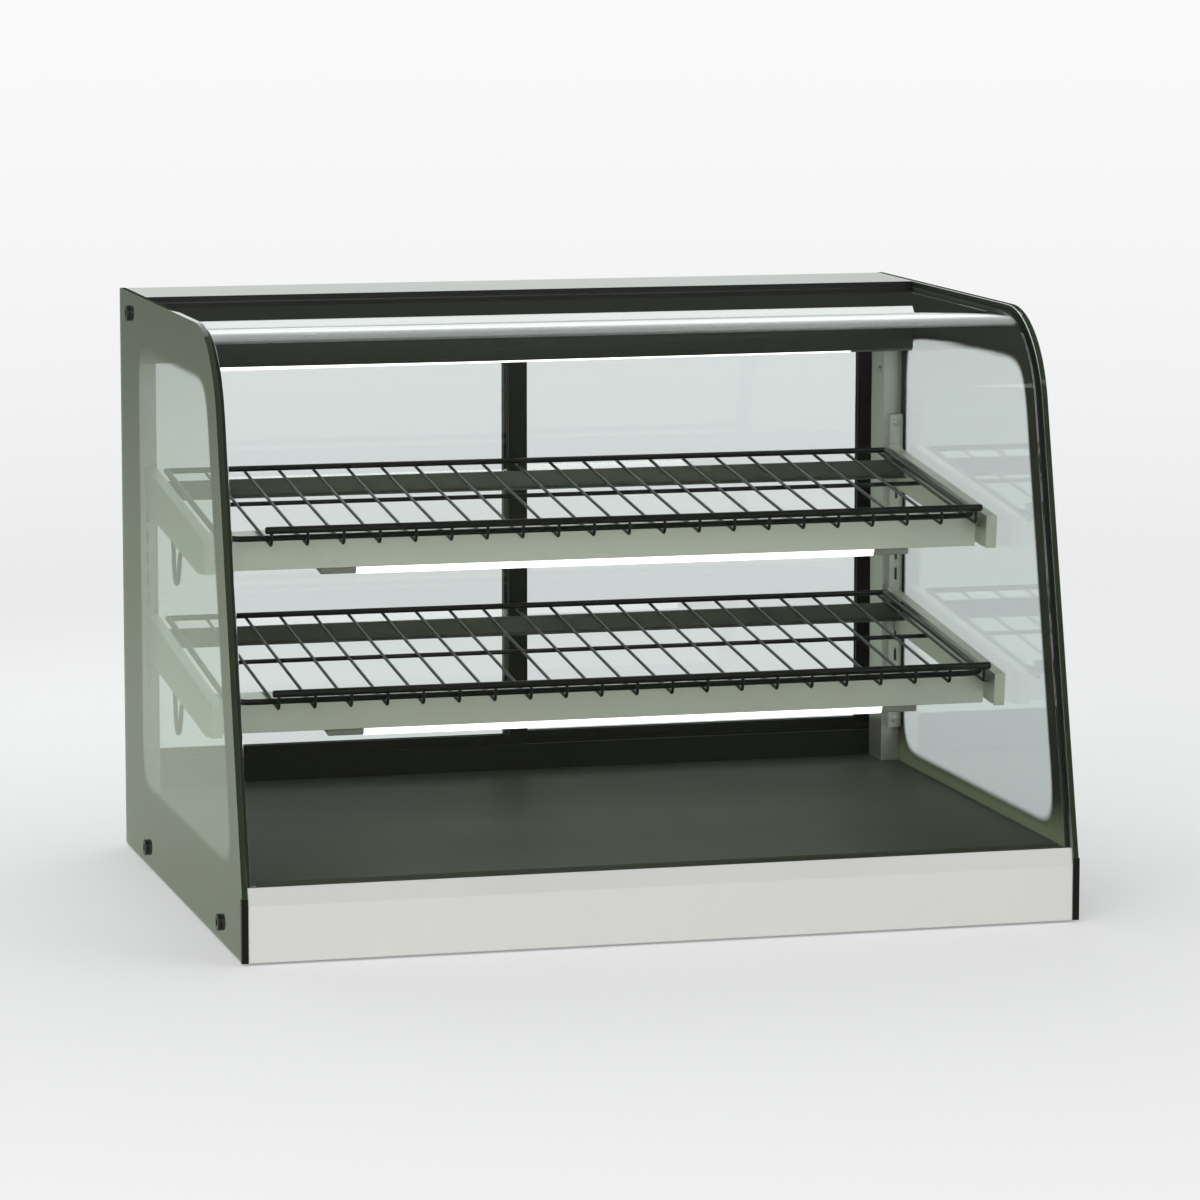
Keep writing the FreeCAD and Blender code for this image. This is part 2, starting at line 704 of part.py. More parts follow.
TUBE_Y = f"({POST_FRONT} - housing_depth / 2)"
TUBE_Z = f"({HOUSING_TOP} - tube_drop)"
TUBE_HALF = f"({BAY} - tube_margin / 2)"
top_tube = round_bar("top_tube", "x", "tube_diameter", f"2 * {TUBE_HALF}", f"-{TUBE_HALF}", TUBE_Y, TUBE_Z)
keep(top_tube, "top_lamp")
holders = []
for hand, (low, high) in both_sides(TUBE_HALF, f"{TUBE_HALF} + holder_thick").items():
    stem = block(
        f"holder_stem_{hand}", (low, high), (f"{TUBE_Y} - holder_width / 2", f"{TUBE_Y} + holder_width / 2"),
        (TUBE_Z, f"{HOUSING_TOP} - sheet_thick"),
    )
    end = round_bar(f"holder_end_{hand}", "x", "holder_width", "holder_thick", low, TUBE_Y, TUBE_Z)
    foot_x = {"left": (f"{low} - holder_foot", high), "right": (low, f"{high} + holder_foot")}[hand]
    foot_y = (f"{TUBE_Y} - holder_width / 2", f"{TUBE_Y} + holder_width / 2")
    foot_z = (f"{HOUSING_TOP} - sheet_thick - holder_thick / 2", f"{HOUSING_TOP} - sheet_thick")
    foot = block(f"holder_foot_{hand}", foot_x, foot_y, foot_z)
    holders.append(joined(f"holder_{hand}", [stem, end, foot]))
keep(group("holder_group", holders), "top_lamp_holders")
top_lens = block(
    "top_lens", (f"-{BAY} + lens_gap", f"{BAY} - lens_gap"),
    (f"{HOUSING_FRONT} + sheet_thick + lens_gap", f"{POST_FRONT} - sheet_thick - lens_gap"),
    (f"{HOUSING_BOTTOM} - top_lens_drop", f"{HOUSING_BOTTOM} - top_lens_drop + top_lens_thick"),
)
keep(top_lens, "top_lens")


# Door tracks: an inner and an outer groove between three fins, below and above the doors
def fin_stretches():
    """The depth of each fin, from the post backwards."""
    step = "(fin_thick + groove_width)"
    starts = [f"{TRACK_FRONT} + {count} * {step}" for count in range(3)]
    return [(start, f"{start} + fin_thick") for start in starts]


sill_points = [(TRACK_FRONT, "deck_height")]
head_points = [(TRACK_FRONT, f"{HEAD_BOTTOM} + head_fin + head_roof")]
for number, (near, far) in enumerate(fin_stretches()):
    if number > 0:
        sill_points.append((near, "deck_height + sill_floor"))
        head_points.append((near, f"{HEAD_BOTTOM} + head_fin"))
    sill_points += [(near, "deck_height + sill_rise"), (far, "deck_height + sill_rise")]
    head_points += [(near, HEAD_BOTTOM), (far, HEAD_BOTTOM)]
    if number < 2:
        sill_points.append((far, "deck_height + sill_floor"))
        head_points.append((far, f"{HEAD_BOTTOM} + head_fin"))
sill_points.append((PAN_BACK, "deck_height"))
head_points.append((PAN_BACK, f"{HEAD_BOTTOM} + head_fin + head_roof"))
sill = profile("sill", "side", sill_points, f"2 * {BAY}")
keep(place(sill, x=f"-{BAY}"), "door_sill")
head_track = profile("head_track", "side", head_points, f"2 * {BAY}")
keep(place(head_track, x=f"-{BAY}"), "door_head_track")

jambs = []
for hand, side_x in both_sides(f"{BAY} - jamb_width", BAY).items():
    rise = ("deck_height + sill_rise", HEAD_BOTTOM)
    jambs.append(block(f"jamb_{hand}", side_x, (TRACK_FRONT, PAN_BACK), rise))
keep(group("jamb_group", jambs), "door_jambs")

# Slotted standards on the posts, with a row of hook slots
for hand, middle in {"left": f"-{STANDARD_X}", "right": STANDARD_X}.items():
    rise = ("standard_bottom", "standard_bottom + standard_height")
    solid = block(
        f"standard_solid_{hand}", (f"{middle} - standard_width / 2", f"{middle} + standard_width / 2"),
        (STANDARD_FRONT, POST_FRONT), rise,
    )
    hollow = block(
        f"standard_hollow_{hand}",
        (f"{middle} - standard_width / 2 + standard_wall", f"{middle} + standard_width / 2 - standard_wall"),
        (f"{STANDARD_FRONT} + standard_wall", f"{POST_FRONT} + overrun"),
        (f"{rise[0]} - overrun", f"{rise[1]} + overrun"),
    )
    slots = []
    for number in range(int(size("slot_count"))):
        height = f"standard_bottom + slot_first + {number} * slot_pitch"
        slots.append(block(
            f"slot_{hand}_{number}", (f"{middle} - slot_width / 2", f"{middle} + slot_width / 2"),
            (f"{STANDARD_FRONT} - overrun", f"{STANDARD_FRONT} + standard_wall + overrun / 2"),
            (f"{height} - slot_height / 2", f"{height} + slot_height / 2"),
        ))
    slot_row = group(f"slot_row_{hand}", slots)
    keep(cut(f"standard_{hand}", solid, [hollow, slot_row]), f"shelf_standard_{hand}")


# Rear sliding doors: black frame, glass in its groove, finger pull, two glides
DOOR_X = {"left": f"(-{DOOR_EDGE})", "right": f"({DOOR_EDGE} - door_width)"}
DOOR_TRACK = {"left": "0", "right": "1"}
for hand, left in DOOR_X.items():
    right = f"({left} + door_width)"
    groove = f"{TRACK_FRONT} + fin_thick + {DOOR_TRACK[hand]} * (fin_thick + groove_width)"
    middle = f"({groove} + groove_width / 2)"
    front = f"({middle} - door_thick / 2)"
    rear = f"({middle} + door_thick / 2)"
    inner_z = (f"{DOOR_BOTTOM} + bottom_rail_height", f"{DOOR_TOP} - top_rail_height")
    inner_x = (f"{left} + stile_width", f"{right} - stile_width")
    solid = block(f"door_solid_{hand}", (left, right), (front, rear), (DOOR_BOTTOM, DOOR_TOP))
    window = block(f"door_window_{hand}", inner_x, (f"{front} - overrun", f"{rear} + overrun"), inner_z)
    lap = "(door_glass_lap + door_glass_gap)"
    half_slot = "(door_glass_thick / 2 + door_glass_gap)"
    slot = block(
        f"door_groove_{hand}", (f"{inner_x[0]} - {lap}", f"{inner_x[1]} + {lap}"),
        (f"{middle} - {half_slot}", f"{middle} + {half_slot}"),
        (f"{inner_z[0]} - {lap}", f"{inner_z[1]} + {lap}"),
    )
    pull_x = {"left": f"({left} + stile_width / 2)", "right": f"({right} - stile_width / 2)"}[hand]
    pull_side = (f"{pull_x} - pull_width / 2", f"{pull_x} + pull_width / 2")
    pull_rise = ("pull_middle - pull_height / 2", "pull_middle + pull_height / 2")
    recess = block(f"door_recess_{hand}", pull_side, (f"{rear} - pull_depth", f"{rear} + overrun"), pull_rise)
    keep(cut(f"door_frame_{hand}", solid, [window, slot, recess]), f"door_frame_{hand}")
    pane_x = (f"{inner_x[0]} - door_glass_lap", f"{inner_x[1]} + door_glass_lap")
    pane_y = (f"{middle} - door_glass_thick / 2", f"{middle} + door_glass_thick / 2")
    pane_z = (f"{inner_z[0]} - door_glass_lap", f"{inner_z[1]} + door_glass_lap")
    if hand == "left":
        pane_x = (f"{left} + pull_width / 2 + stile_width / 2 + door_glass_gap", pane_x[1])
    else:
        pane_x = (pane_x[0], f"{right} - pull_width / 2 - stile_width / 2 - door_glass_gap")
    keep(block(f"door_pane_{hand}", pane_x, pane_y, pane_z), f"door_glass_{hand}")
    cup = block(f"pull_solid_{hand}", pull_side, (f"{rear} - pull_depth", rear), pull_rise)
    dish = block(
        f"pull_dish_{hand}", (f"{pull_side[0]} + pull_wall", f"{pull_side[1]} - pull_wall"),
        (f"{rear} - pull_depth + pull_wall", f"{rear} + overrun"),
        (f"{pull_rise[0]} + pull_wall", f"{pull_rise[1]} - pull_wall"),
    )
    keep(cut(f"pull_{hand}", cup, [dish]), f"door_pull_{hand}")
    glides = []
    for number, start in enumerate((f"{left} + glide_inset", f"{right} - glide_inset - glide_length")):
        glides.append(block(
            f"glide_{hand}_{number}", (start, f"{start} + glide_length"),
            (f"{groove} + glide_side_gap", f"{groove} + groove_width - glide_side_gap"),
            (f"{DOOR_BOTTOM} - glide_height", DOOR_BOTTOM),
        ))
    keep(group(f"glide_group_{hand}", glides), f"door_glides_{hand}")

# Light switch in the rear wall: a flanged bezel and a rocker on two stub axles
SWITCH_HALF_X = "(switch_width / 2 - switch_wall - switch_body_gap)"
SWITCH_HALF_Z = "(switch_height / 2 - switch_wall - switch_body_gap)"
flange = block(
    "switch_flange", (f"{SWITCH_X} - switch_width / 2", f"{SWITCH_X} + switch_width / 2"),
    (PAN_BACK, f"{PAN_BACK} + switch_flange"),
    ("switch_middle - switch_height / 2", "switch_middle + switch_height / 2"),
)
switch_body = block(
    "switch_body", (f"{SWITCH_X} - {SWITCH_HALF_X}", f"{SWITCH_X} + {SWITCH_HALF_X}"),
    (f"{PAN_BACK} - switch_body_depth", PAN_BACK),
    (f"switch_middle - {SWITCH_HALF_Z}", f"switch_middle + {SWITCH_HALF_Z}"),
)
AXLE_Y = f"({PAN_BACK} - rocker_axle_depth)"
WELL_X = f"({SWITCH_HALF_X} - switch_wall)"
WELL_Z = f"({SWITCH_HALF_Z} - switch_wall / 2)"
well = block(
    "switch_well", (f"{SWITCH_X} - {WELL_X}", f"{SWITCH_X} + {WELL_X}"),
    (f"{PAN_BACK} - switch_body_depth + switch_wall", f"{PAN_BACK} + switch_flange + overrun"),
    (f"switch_middle - {WELL_Z}", f"switch_middle + {WELL_Z}"),
)
axle_bore = round_bar(
    "switch_axle_bore", "x", "rocker_axle_diameter + 2 * rocker_axle_clearance",
    f"2 * {SWITCH_HALF_X} + 2 * overrun", f"{SWITCH_X} - {SWITCH_HALF_X} - overrun", AXLE_Y, "switch_middle",
)
bezel = cut("bezel", joined("bezel_solid", [flange, switch_body]), [well, axle_bore])
keep(bezel, "switch_bezel")

ROCKER_X = f"({WELL_X} - rocker_gap)"
ROCKER_Z = f"({WELL_Z} - 2 * rocker_gap)"
ROCKER_FACE = "(rocker_axle_depth + switch_flange + rocker_rise)"
rocker_points = [
    (f"{ROCKER_FACE} - rocker_thick", f"-{ROCKER_Z}"),
    (ROCKER_FACE, f"-{ROCKER_Z}"),
    (f"{ROCKER_FACE} - {ROCKER_Z} * tan(rocker_swing)", "0"),
    (ROCKER_FACE, ROCKER_Z),
    (f"{ROCKER_FACE} - rocker_thick", ROCKER_Z),
    ("-rocker_axle_diameter", "rocker_axle_diameter"),
    ("-rocker_axle_diameter", "-rocker_axle_diameter"),
]
rocker_block = place(profile("rocker_block", "side", rocker_points, f"2 * {ROCKER_X}"), x=f"-{ROCKER_X}")
rocker_axle = round_bar(
    "rocker_axle", "x", "rocker_axle_diameter", f"2 * {SWITCH_HALF_X}", f"-{SWITCH_HALF_X}",
)
rocker = joined("rocker", [rocker_block, rocker_axle])
rocker.Placement = FreeCAD.Placement(FreeCAD.Vector(), FreeCAD.Rotation(X, size("rocker_swing")))
bind(rocker, Placement__Rotation__Angle="rocker_swing")
keep(place(rocker, SWITCH_X, AXLE_Y, "switch_middle"), "switch_rocker")

# Lamp ballast on the floor of the pan: a rounded can between two mounting feet
BALLAST_FLOOR = "(foot_height + sheet_thick)"
can_points = [
    ("-ballast_width / 2", "0"),
    ("-ballast_width / 2", "ballast_height"),
    ("ballast_width / 2", "ballast_height"),
    ("ballast_width / 2", "0"),
]
can = profile("ballast_can", "side", can_points, "ballast_length")
round_corners(can, "ballast_round", can_points[1:3])
place(can, "-ballast_length / 2", "ballast_place", BALLAST_FLOOR)
ballast_feet = block(
    "ballast_feet", ("-ballast_length / 2 - ballast_foot", "ballast_length / 2 + ballast_foot"),
    ("ballast_place - ballast_width / 2", "ballast_place + ballast_width / 2"),
    (BALLAST_FLOOR, f"{BALLAST_FLOOR} + ballast_foot_thick"),
)
keep(joined("ballast", [can, ballast_feet]), "lamp_ballast")

# Cord gland: a flanged bush in the rear wall
gland_flange = prism(
    "gland_flange", "y", "round_side_count", "gland_flange_diameter", "gland_flange_thick",
    GLAND_X, PAN_BACK, "gland_middle",
)
gland_body = prism(
    "gland_body", "y", "round_side_count", "gland_body_diameter", "gland_body_depth",
    GLAND_X, f"{PAN_BACK} - gland_body_depth", "gland_middle",
)
gland_bore = round_bar(
    "gland_bore", "y", "gland_bore", "gland_body_depth + gland_flange_thick + 2 * overrun",
    GLAND_X, f"{PAN_BACK} - gland_body_depth - overrun", "gland_middle",
)
keep(cut("gland", joined("gland_solid", [gland_flange, gland_body]), [gland_bore]), "cord_gland")


# Shelves. Each is drawn level from the standards' face and then tilted down to the front
def hook_height(shelf):
    """The height of a shelf's upper slot."""
    return f"(standard_bottom + slot_first + {shelf}_slot_count * slot_pitch)"


def seat(thing, shelf):
    """Hangs a level piece of a shelf at its slot, tilted."""
    thing.Placement = FreeCAD.Placement(FreeCAD.Vector(), FreeCAD.Rotation(X, size("shelf_tilt")))
    bind(thing, Placement__Rotation__Angle="shelf_tilt")
    return place(thing, "0", STANDARD_FRONT, hook_height(shelf))


def upright(y, z):
    """A place square to the standards, as it is on the level drawing of a tilted shelf."""
    across = f"(({y}) * cos(shelf_tilt) + ({z}) * sin(shelf_tilt))"
    up = f"(({z}) * cos(shelf_tilt) - ({y}) * sin(shelf_tilt))"
    return across, up


def hook_points(middle):
    """A hook through one slot of the standard: neck, and a finger that drops behind the wall."""
    low = f"({middle} - slot_height / 2 + hook_seat)"
    high = f"({low} + hook_height)"
    behind = "(standard_wall + hook_finger_gap)"
    tip = f"({behind} + hook_finger)"
    return [
        upright("-bracket_gap", low),
        upright(behind, low),
        upright(behind, f"{low} - hook_drop"),
        upright(tip, f"{low} - hook_drop"),
        upright(tip, high),
        upright("-bracket_gap", high),
    ]


def bar_front(shelf):
    """The depth of a light bar's front face on the level drawing."""
    return f"(-{shelf}_reach + bar_setback)"


def bracket(shelf, hand):
    """A blade with two hooks, and flanges turned inwards along its top and front edges."""
    tip = f"(-{shelf}_reach - bracket_overhang)"
    blade_points = [
        (tip, "bracket_rise"),
        (tip, "-bracket_front_drop"),
        (bar_front(shelf), "-bracket_bar_drop"),
        upright("-bracket_gap", "-bracket_rear_drop"),
        *hook_points("-slot_pitch"),
        *hook_points("0"),
        upright("-bracket_gap", "bracket_rise"),
    ]
    name = f"{shelf}_bracket_{hand}"
    blade = profile(f"{name}_blade", "side", blade_points, "bracket_thick")
    side_x = both_sides(BLADE_INNER, f"{BLADE_INNER} + bracket_thick")[hand]
    place(blade, x=side_x[0])
    flange_x = both_sides(f"{BLADE_INNER} + bracket_thick - bracket_flange", f"{BLADE_INNER}")[hand]
    flange_y = (tip, "-2 * bracket_gap")
    flange = block(f"{name}_flange", flange_x, flange_y, ("bracket_rise - bracket_thick", "bracket_rise"))
    front_y = (tip, f"{tip} + bracket_thick")
    front = block(f"{name}_front", flange_x, front_y, ("-bracket_front_drop", "bracket_rise"))
    return keep(seat(joined(name, [blade, flange, front]), shelf), name)


BAR_TOP = "(-wire_diameter / 2 - bar_gap)"
BAR_HALF = f"({BLADE_INNER} - bar_end_gap)"
LAMP_LENGTH = f"(2 * {BAR_HALF} - lamp_margin)"


def light_bar(shelf):
    """The front channel that carries the lamp: deep front face, open below, bosses to the brackets."""
    near = bar_front(shelf)
    far = f"({near} + bar_depth)"
    section = [
        (near, f"{BAR_TOP} - bar_height"),
        (near, BAR_TOP),
        (far, BAR_TOP),
        (far, f"{BAR_TOP} - bar_rear_height"),
        (f"{far} - bar_sheet", f"{BAR_TOP} - bar_rear_height"),
        (f"{far} - bar_sheet", f"{BAR_TOP} - bar_sheet"),
        (f"{near} + bar_sheet", f"{BAR_TOP} - bar_sheet"),
        (f"{near} + bar_sheet", f"{BAR_TOP} - bar_height"),
    ]
    name = f"{shelf}_light_bar"
    pieces = [place(profile(f"{name}_channel", "side", section, f"2 * {BAR_HALF}"), x=f"-{BAR_HALF}")]
    plate_z = (f"{BAR_TOP} - bar_rear_height", BAR_TOP)
    for hand, plate_x in both_sides(f"{BAR_HALF} - bar_sheet", BAR_HALF).items():
        pieces.append(block(f"{name}_plate_{hand}", plate_x, (near, far), plate_z))
        start = {"left": f"-{BLADE_INNER}", "right": BAR_HALF}[hand]
        pieces.append(prism(
            f"{name}_boss_{hand}", "x", "rod_side_count", "boss_diameter", "bar_end_gap",
            start, f"{near} + bar_depth / 2", f"{BAR_TOP} - bar_rear_height / 2",
        ))
    return keep(seat(joined(name, pieces), shelf), name)


def shelf_lamp(shelf):
    """Tube, its two end holders and the clear-white trough lens below them."""
    near = f"({bar_front(shelf)} + bar_sheet + lens_gap)"
    far = f"({near} + shelf_lens_width)"
    bottom = f"({BAR_TOP} - bar_height - shelf_lens_drop)"
    top = f"({BAR_TOP} - bar_height + shelf_lens_lap)"
    lens_points = [
        (near, top),
        (near, f"{BAR_TOP} - bar_height"),
        (f"{near} + shelf_lens_drop / 2", bottom),
        (f"{far} - shelf_lens_drop / 2", bottom),
        (far, f"{BAR_TOP} - bar_height"),
        (far, top),
        (f"{far} - shelf_lens_wall", top),
        (f"{far} - shelf_lens_wall", f"{BAR_TOP} - bar_height"),
        (f"{far} - shelf_lens_drop / 2 - shelf_lens_wall / 2", f"{bottom} + shelf_lens_wall"),
        (f"{near} + shelf_lens_drop / 2 + shelf_lens_wall / 2", f"{bottom} + shelf_lens_wall"),
        (f"{near} + shelf_lens_wall", f"{BAR_TOP} - bar_height"),
        (f"{near} + shelf_lens_wall", top),
    ]
    start = f"(lamp_shift - {LAMP_LENGTH} / 2)"
    lens = profile(f"{shelf}_lens_trough", "side", lens_points, LAMP_LENGTH)
    keep(seat(lens, shelf), f"{shelf}_lens")
    bind(lens, Placement__Base__x=start)
    tube_y = f"({near} + shelf_lens_width / 2)"
    tube_z = f"({BAR_TOP} - bar_height + lamp_diameter / 2 - shelf_lens_drop / 2)"
    tube = round_bar(f"{shelf}_tube", "x", "lamp_diameter", LAMP_LENGTH, start, tube_y, tube_z)
    keep(seat(group(f"{shelf}_tube_seat", [tube]), shelf), f"{shelf}_lamp")
    ends = []
    for hand, low in {"left": f"{start} - lamp_holder_length", "right": f"{start} + {LAMP_LENGTH}"}.items():
        ends.append(block(
            f"{shelf}_lamp_end_{hand}", (low, f"{low} + lamp_holder_length"), (near, far),
            (f"{bottom} + shelf_lens_wall", f"{BAR_TOP} - bar_sheet"),
        ))
    keep(seat(group(f"{shelf}_lamp_end_group", ends), shelf), f"{shelf}_lamp_holders")


def rear_stretcher(shelf):
    """A bar between the brackets under the back of the grid, with a foot along its lower edge."""
    low = f"({BAR_TOP} - stretcher_height)"
    near = "(-stretcher_setback - stretcher_thick)"
    section = [
        ("-stretcher_setback", low),
        ("-stretcher_setback", BAR_TOP),
        (near, BAR_TOP),
        (near, f"{low} + bar_sheet"),
        (f"{near} - stretcher_foot", f"{low} + bar_sheet"),
        (f"{near} - stretcher_foot", low),
    ]
    bar = profile(f"{shelf}_stretcher_bar", "side", section, f"2 * {BLADE_INNER}")
    seat(bar, shelf)
    bind(bar, Placement__Base__x=f"-{BLADE_INNER}")
    return keep(bar, f"{shelf}_stretcher")


def bent_path(points, radii):
    """Straight runs through points, joined by tangent arcs of the given radii."""
    edges = []
    here = points[0]
    for before, corner, after, radius in zip(points, points[1:], points[2:], radii):
        back = (before - corner).normalize()
        onward = (after - corner).normalize()
        half = back.getAngle(onward) / 2
        reach = radius / math.tan(half)
        enter = corner + back * reach
        leave = corner + onward * reach
        inward = (back + onward).normalize()
        apex = corner + inward * (((reach ** 2 + radius ** 2) ** 0.5) - radius)
        edges.append(Part.LineSegment(here, enter).toShape())
        edges.append(Part.Arc(enter, apex, leave).toShape())
        here = leave
    edges.append(Part.LineSegment(here, points[-1]).toShape())
    return Part.Wire(edges)


def swept(path, start, across, up, diameter, sides):
    """A rod of even sides swept along a path of runs and tangent arcs, with its volume checked."""
    corner = size(diameter) / 2
    count = int(size(sides))
    angles = [2 * math.pi * number / count for number in range(count)]
    ring = [start + across * corner * math.cos(angle) + up * corner * math.sin(angle) for angle in angles]
    solid = path.makePipeShell([Part.makePolygon(ring + ring[:1])], True, False)
    area = count / 2 * corner ** 2 * math.sin(2 * math.pi / count)
    if abs(solid.Volume / (area * path.Length) - 1) > size("sweep_slack_share"):
        raise RuntimeError("a swept rod's volume isn't its section times its length")
    return solid


def shaped(name, shape):
    """A piece whose shape is set directly."""
    piece = doc.addObject("Part::Feature", name)
    piece.Shape = shape
    return piece


WIRE_ROW = f"(2 * {BLADE_INNER} - wire_margin)"


def wire_place(number):
    """The X of one wire of the even row."""
    return f"(wire_shift + ({number} / (wire_count - 1) - 1 / 2) * {WIRE_ROW})"


def grid(shelf):
    """Welded shelf: a row of wires, a bent frame rod on top of them, a middle rod below."""
    name = f"{shelf}_grid"
    front = f"(-{shelf}_reach)"
    over = "((wire_diameter + frame_rod_diameter) / 2)"
    under = "(-(wire_diameter + middle_rod_diameter) / 2)"
    rear = "(-grid_rear_gap - frame_rod_diameter)"
    bow = f"({front} + frame_setback)"
    rods = []
    for number in range(int(size("wire_count"))):
        start = f"{front} + wire_diameter / 2"
        length = f"-grid_rear_gap - ({start})"
        wire = f"{name}_wire_{number}"
        rods.append(prism(wire, "y", "rod_side_count", "wire_diameter", length, wire_place(number), start))
    leg = f"({bow} + 2 * frame_bend)"
    left = f"(frame_left_gap - {BLADE_INNER})"
    right = f"({BLADE_INNER} - frame_right_gap)"
    corners = [(left, leg), (left, bow), (right, bow), (right, leg)]
    points = [FreeCAD.Vector(size(x), size(y), size(over)) for x, y in corners]
    path = bent_path(points, [size("frame_bend")] * 2)
    rods.append(shaped(f"{name}_bow", swept(path, points[0], X, Z, "frame_rod_diameter", "rod_side_count")))
    for side in (left, right):
        length = f"{rear} + frame_rod_diameter / 2 - {leg}"
        leg_name = f"{name}_side_{len(rods)}"
        rods.append(prism(leg_name, "y", "rod_side_count", "frame_rod_diameter", length, side, leg, over))
    across = f"{right} - {left} - frame_rod_diameter"
    rear_x = f"{left} + frame_rod_diameter / 2"
    rods.append(prism(
        f"{name}_rear", "x", "rod_side_count", "frame_rod_diameter", across, rear_x, rear, over,
    ))
    brace_x = f"{wire_place(0)} - frame_rod_diameter"
    brace_length = f"{WIRE_ROW} + 2 * frame_rod_diameter"
    brace_y = f"{front} + middle_rod_setback"
    rods.append(prism(
        f"{name}_brace", "x", "rod_side_count", "middle_rod_diameter", brace_length, brace_x, brace_y, under,
    ))
    return keep(seat(group(name, rods), shelf), name)


def stop_rail(shelf):
    """The raised front rail, on the turned-up ends of the wires."""
    name = f"{shelf}_stop_rail"
    front = f"(-{shelf}_reach)"
    length = f"{WIRE_ROW} + 2 * stop_overhang"
    start = f"{wire_place(0)} - stop_overhang"
    rods = [round_bar(f"{name}_top", "x", "stop_diameter", length, start, front, "stop_height")]
    over_corners = "wire_diameter / cos(180 / turned_side_count)"
    rise = "stop_height - stop_diameter / 2 + wire_diameter / 2"
    for number in range(int(size("wire_count"))):
        rods.append(prism(
            f"{name}_end_{number}", "z", "turned_side_count", over_corners, rise,
            wire_place(number), front, "-wire_diameter / 2",
        ))
        rods[-1].Placement.Rotation = FreeCAD.Rotation(Z, 180 / size("turned_side_count"))
    return keep(seat(group(name, rods), shelf), name)


LEAD_LEVEL = f"({BAR_TOP} - lead_drop)"
SOCKET_FRONT = "(standard_depth + socket_setback)"


def lamp_lead(shelf):
    """The lamp's cord: out of its left holder, back along the bracket, one hanging loop, to its socket."""
    level = size(LEAD_LEVEL)
    near = size(bar_front(shelf)) + size("bar_sheet") + size("shelf_lens_width") / 2
    start = size(f"lamp_shift - {LAMP_LENGTH} / 2 - lamp_holder_length")
    side = size(f"lead_side_gap - {BLADE_INNER}")
    loop = -size("loop_place")
    wide = size("loop_width")
    deep = level - size("loop_length")
    turn = size("lead_turn")
    socket_x = size(f"socket_width / 2 - {POST_INNER}")
    ahead = upright(f"{SOCKET_FRONT} - lead_turn", LEAD_LEVEL)
    home = upright(SOCKET_FRONT, LEAD_LEVEL)
    points = [
        FreeCAD.Vector(start, near, level),
        FreeCAD.Vector(side + turn, near, level),
        FreeCAD.Vector(side, near + turn, level),
        FreeCAD.Vector(side, loop - wide, level),
        FreeCAD.Vector(side, loop - wide / 2, deep),
        FreeCAD.Vector(side, loop + wide / 2, deep),
        FreeCAD.Vector(side, loop + wide, level),
        FreeCAD.Vector(side, loop + wide + turn, level),
        FreeCAD.Vector(socket_x, size(ahead[0]), size(ahead[1])),
        FreeCAD.Vector(socket_x, size(home[0]), size(home[1])),
    ]
    radii = []
    for before, corner, after in zip(points, points[1:], points[2:]):
        back = before - corner
        onward = after - corner
        half_turn = (math.pi - back.getAngle(onward)) / 2
        radii.append(size("bend_share") * min(back.Length, onward.Length) / math.tan(half_turn))
    path = bent_path(points, radii)
    cord = shaped(f"{shelf}_cord", swept(path, points[0], Y, Z, "lead_diameter", "lead_side_count"))
    return keep(seat(group(f"{shelf}_lead_seat", [cord]), shelf), f"{shelf}_lamp_lead")


for shelf in ("upper", "lower"):
    bracket(shelf, "left")
    bracket(shelf, "right")
    light_bar(shelf)
    shelf_lamp(shelf)
    rear_stretcher(shelf)
    grid(shelf)
    stop_rail(shelf)
    lamp_lead(shelf)

# Lead sockets on the inner side of the left post
sockets = []
for shelf in ("upper", "lower"):
    middle = f"({hook_height(shelf)} + {LEAD_LEVEL})"
    front = f"{STANDARD_FRONT} + {SOCKET_FRONT}"
    sockets.append(block(
        f"{shelf}_socket", (f"-{POST_INNER}", f"socket_width - {POST_INNER}"),
        (front, f"{front} + socket_depth"),
        (f"{middle} - socket_height / 2", f"{middle} + socket_height / 2"),
    ))
keep(group("socket_group", sockets), "lead_sockets")

# Every object has to have come out whole before anything is written
doc.recompute()
for thing in doc.Objects:
    if {"Invalid", "Error"} & set(thing.State):
        raise RuntimeError(f"{thing.Name}: {thing.State}")
for piece in parts:
    if piece.Shape.isNull() or not piece.Shape.isValid() or not piece.Shape.Solids:
        raise RuntimeError(f"{piece.Label}: not a valid solid")
os.makedirs("parts", exist_ok=True)
for piece in parts:
    piece.Shape.exportStep(f"parts/{piece.Label}.step")
print(len(parts), "parts written")
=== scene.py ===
"""Countertop bakery case: finishes, printed glass borders, wire shelves, lamp leads, screws, studio and camera."""
import bpy
import json
import math
from mathutils import Matrix, Vector


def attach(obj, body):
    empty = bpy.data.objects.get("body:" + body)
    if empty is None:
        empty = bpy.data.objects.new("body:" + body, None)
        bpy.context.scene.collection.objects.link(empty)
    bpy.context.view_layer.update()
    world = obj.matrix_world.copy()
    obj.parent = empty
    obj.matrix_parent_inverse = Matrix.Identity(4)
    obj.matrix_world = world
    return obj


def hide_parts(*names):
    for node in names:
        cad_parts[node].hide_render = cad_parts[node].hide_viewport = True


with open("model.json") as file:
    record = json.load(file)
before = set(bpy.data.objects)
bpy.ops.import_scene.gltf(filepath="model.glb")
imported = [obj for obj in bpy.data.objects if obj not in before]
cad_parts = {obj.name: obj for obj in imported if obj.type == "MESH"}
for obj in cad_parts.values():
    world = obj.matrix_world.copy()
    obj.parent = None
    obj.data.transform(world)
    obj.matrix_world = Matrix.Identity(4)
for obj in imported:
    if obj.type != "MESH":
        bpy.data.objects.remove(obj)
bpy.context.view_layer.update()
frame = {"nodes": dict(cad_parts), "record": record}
nodes = frame["nodes"]
scene = bpy.context.scene

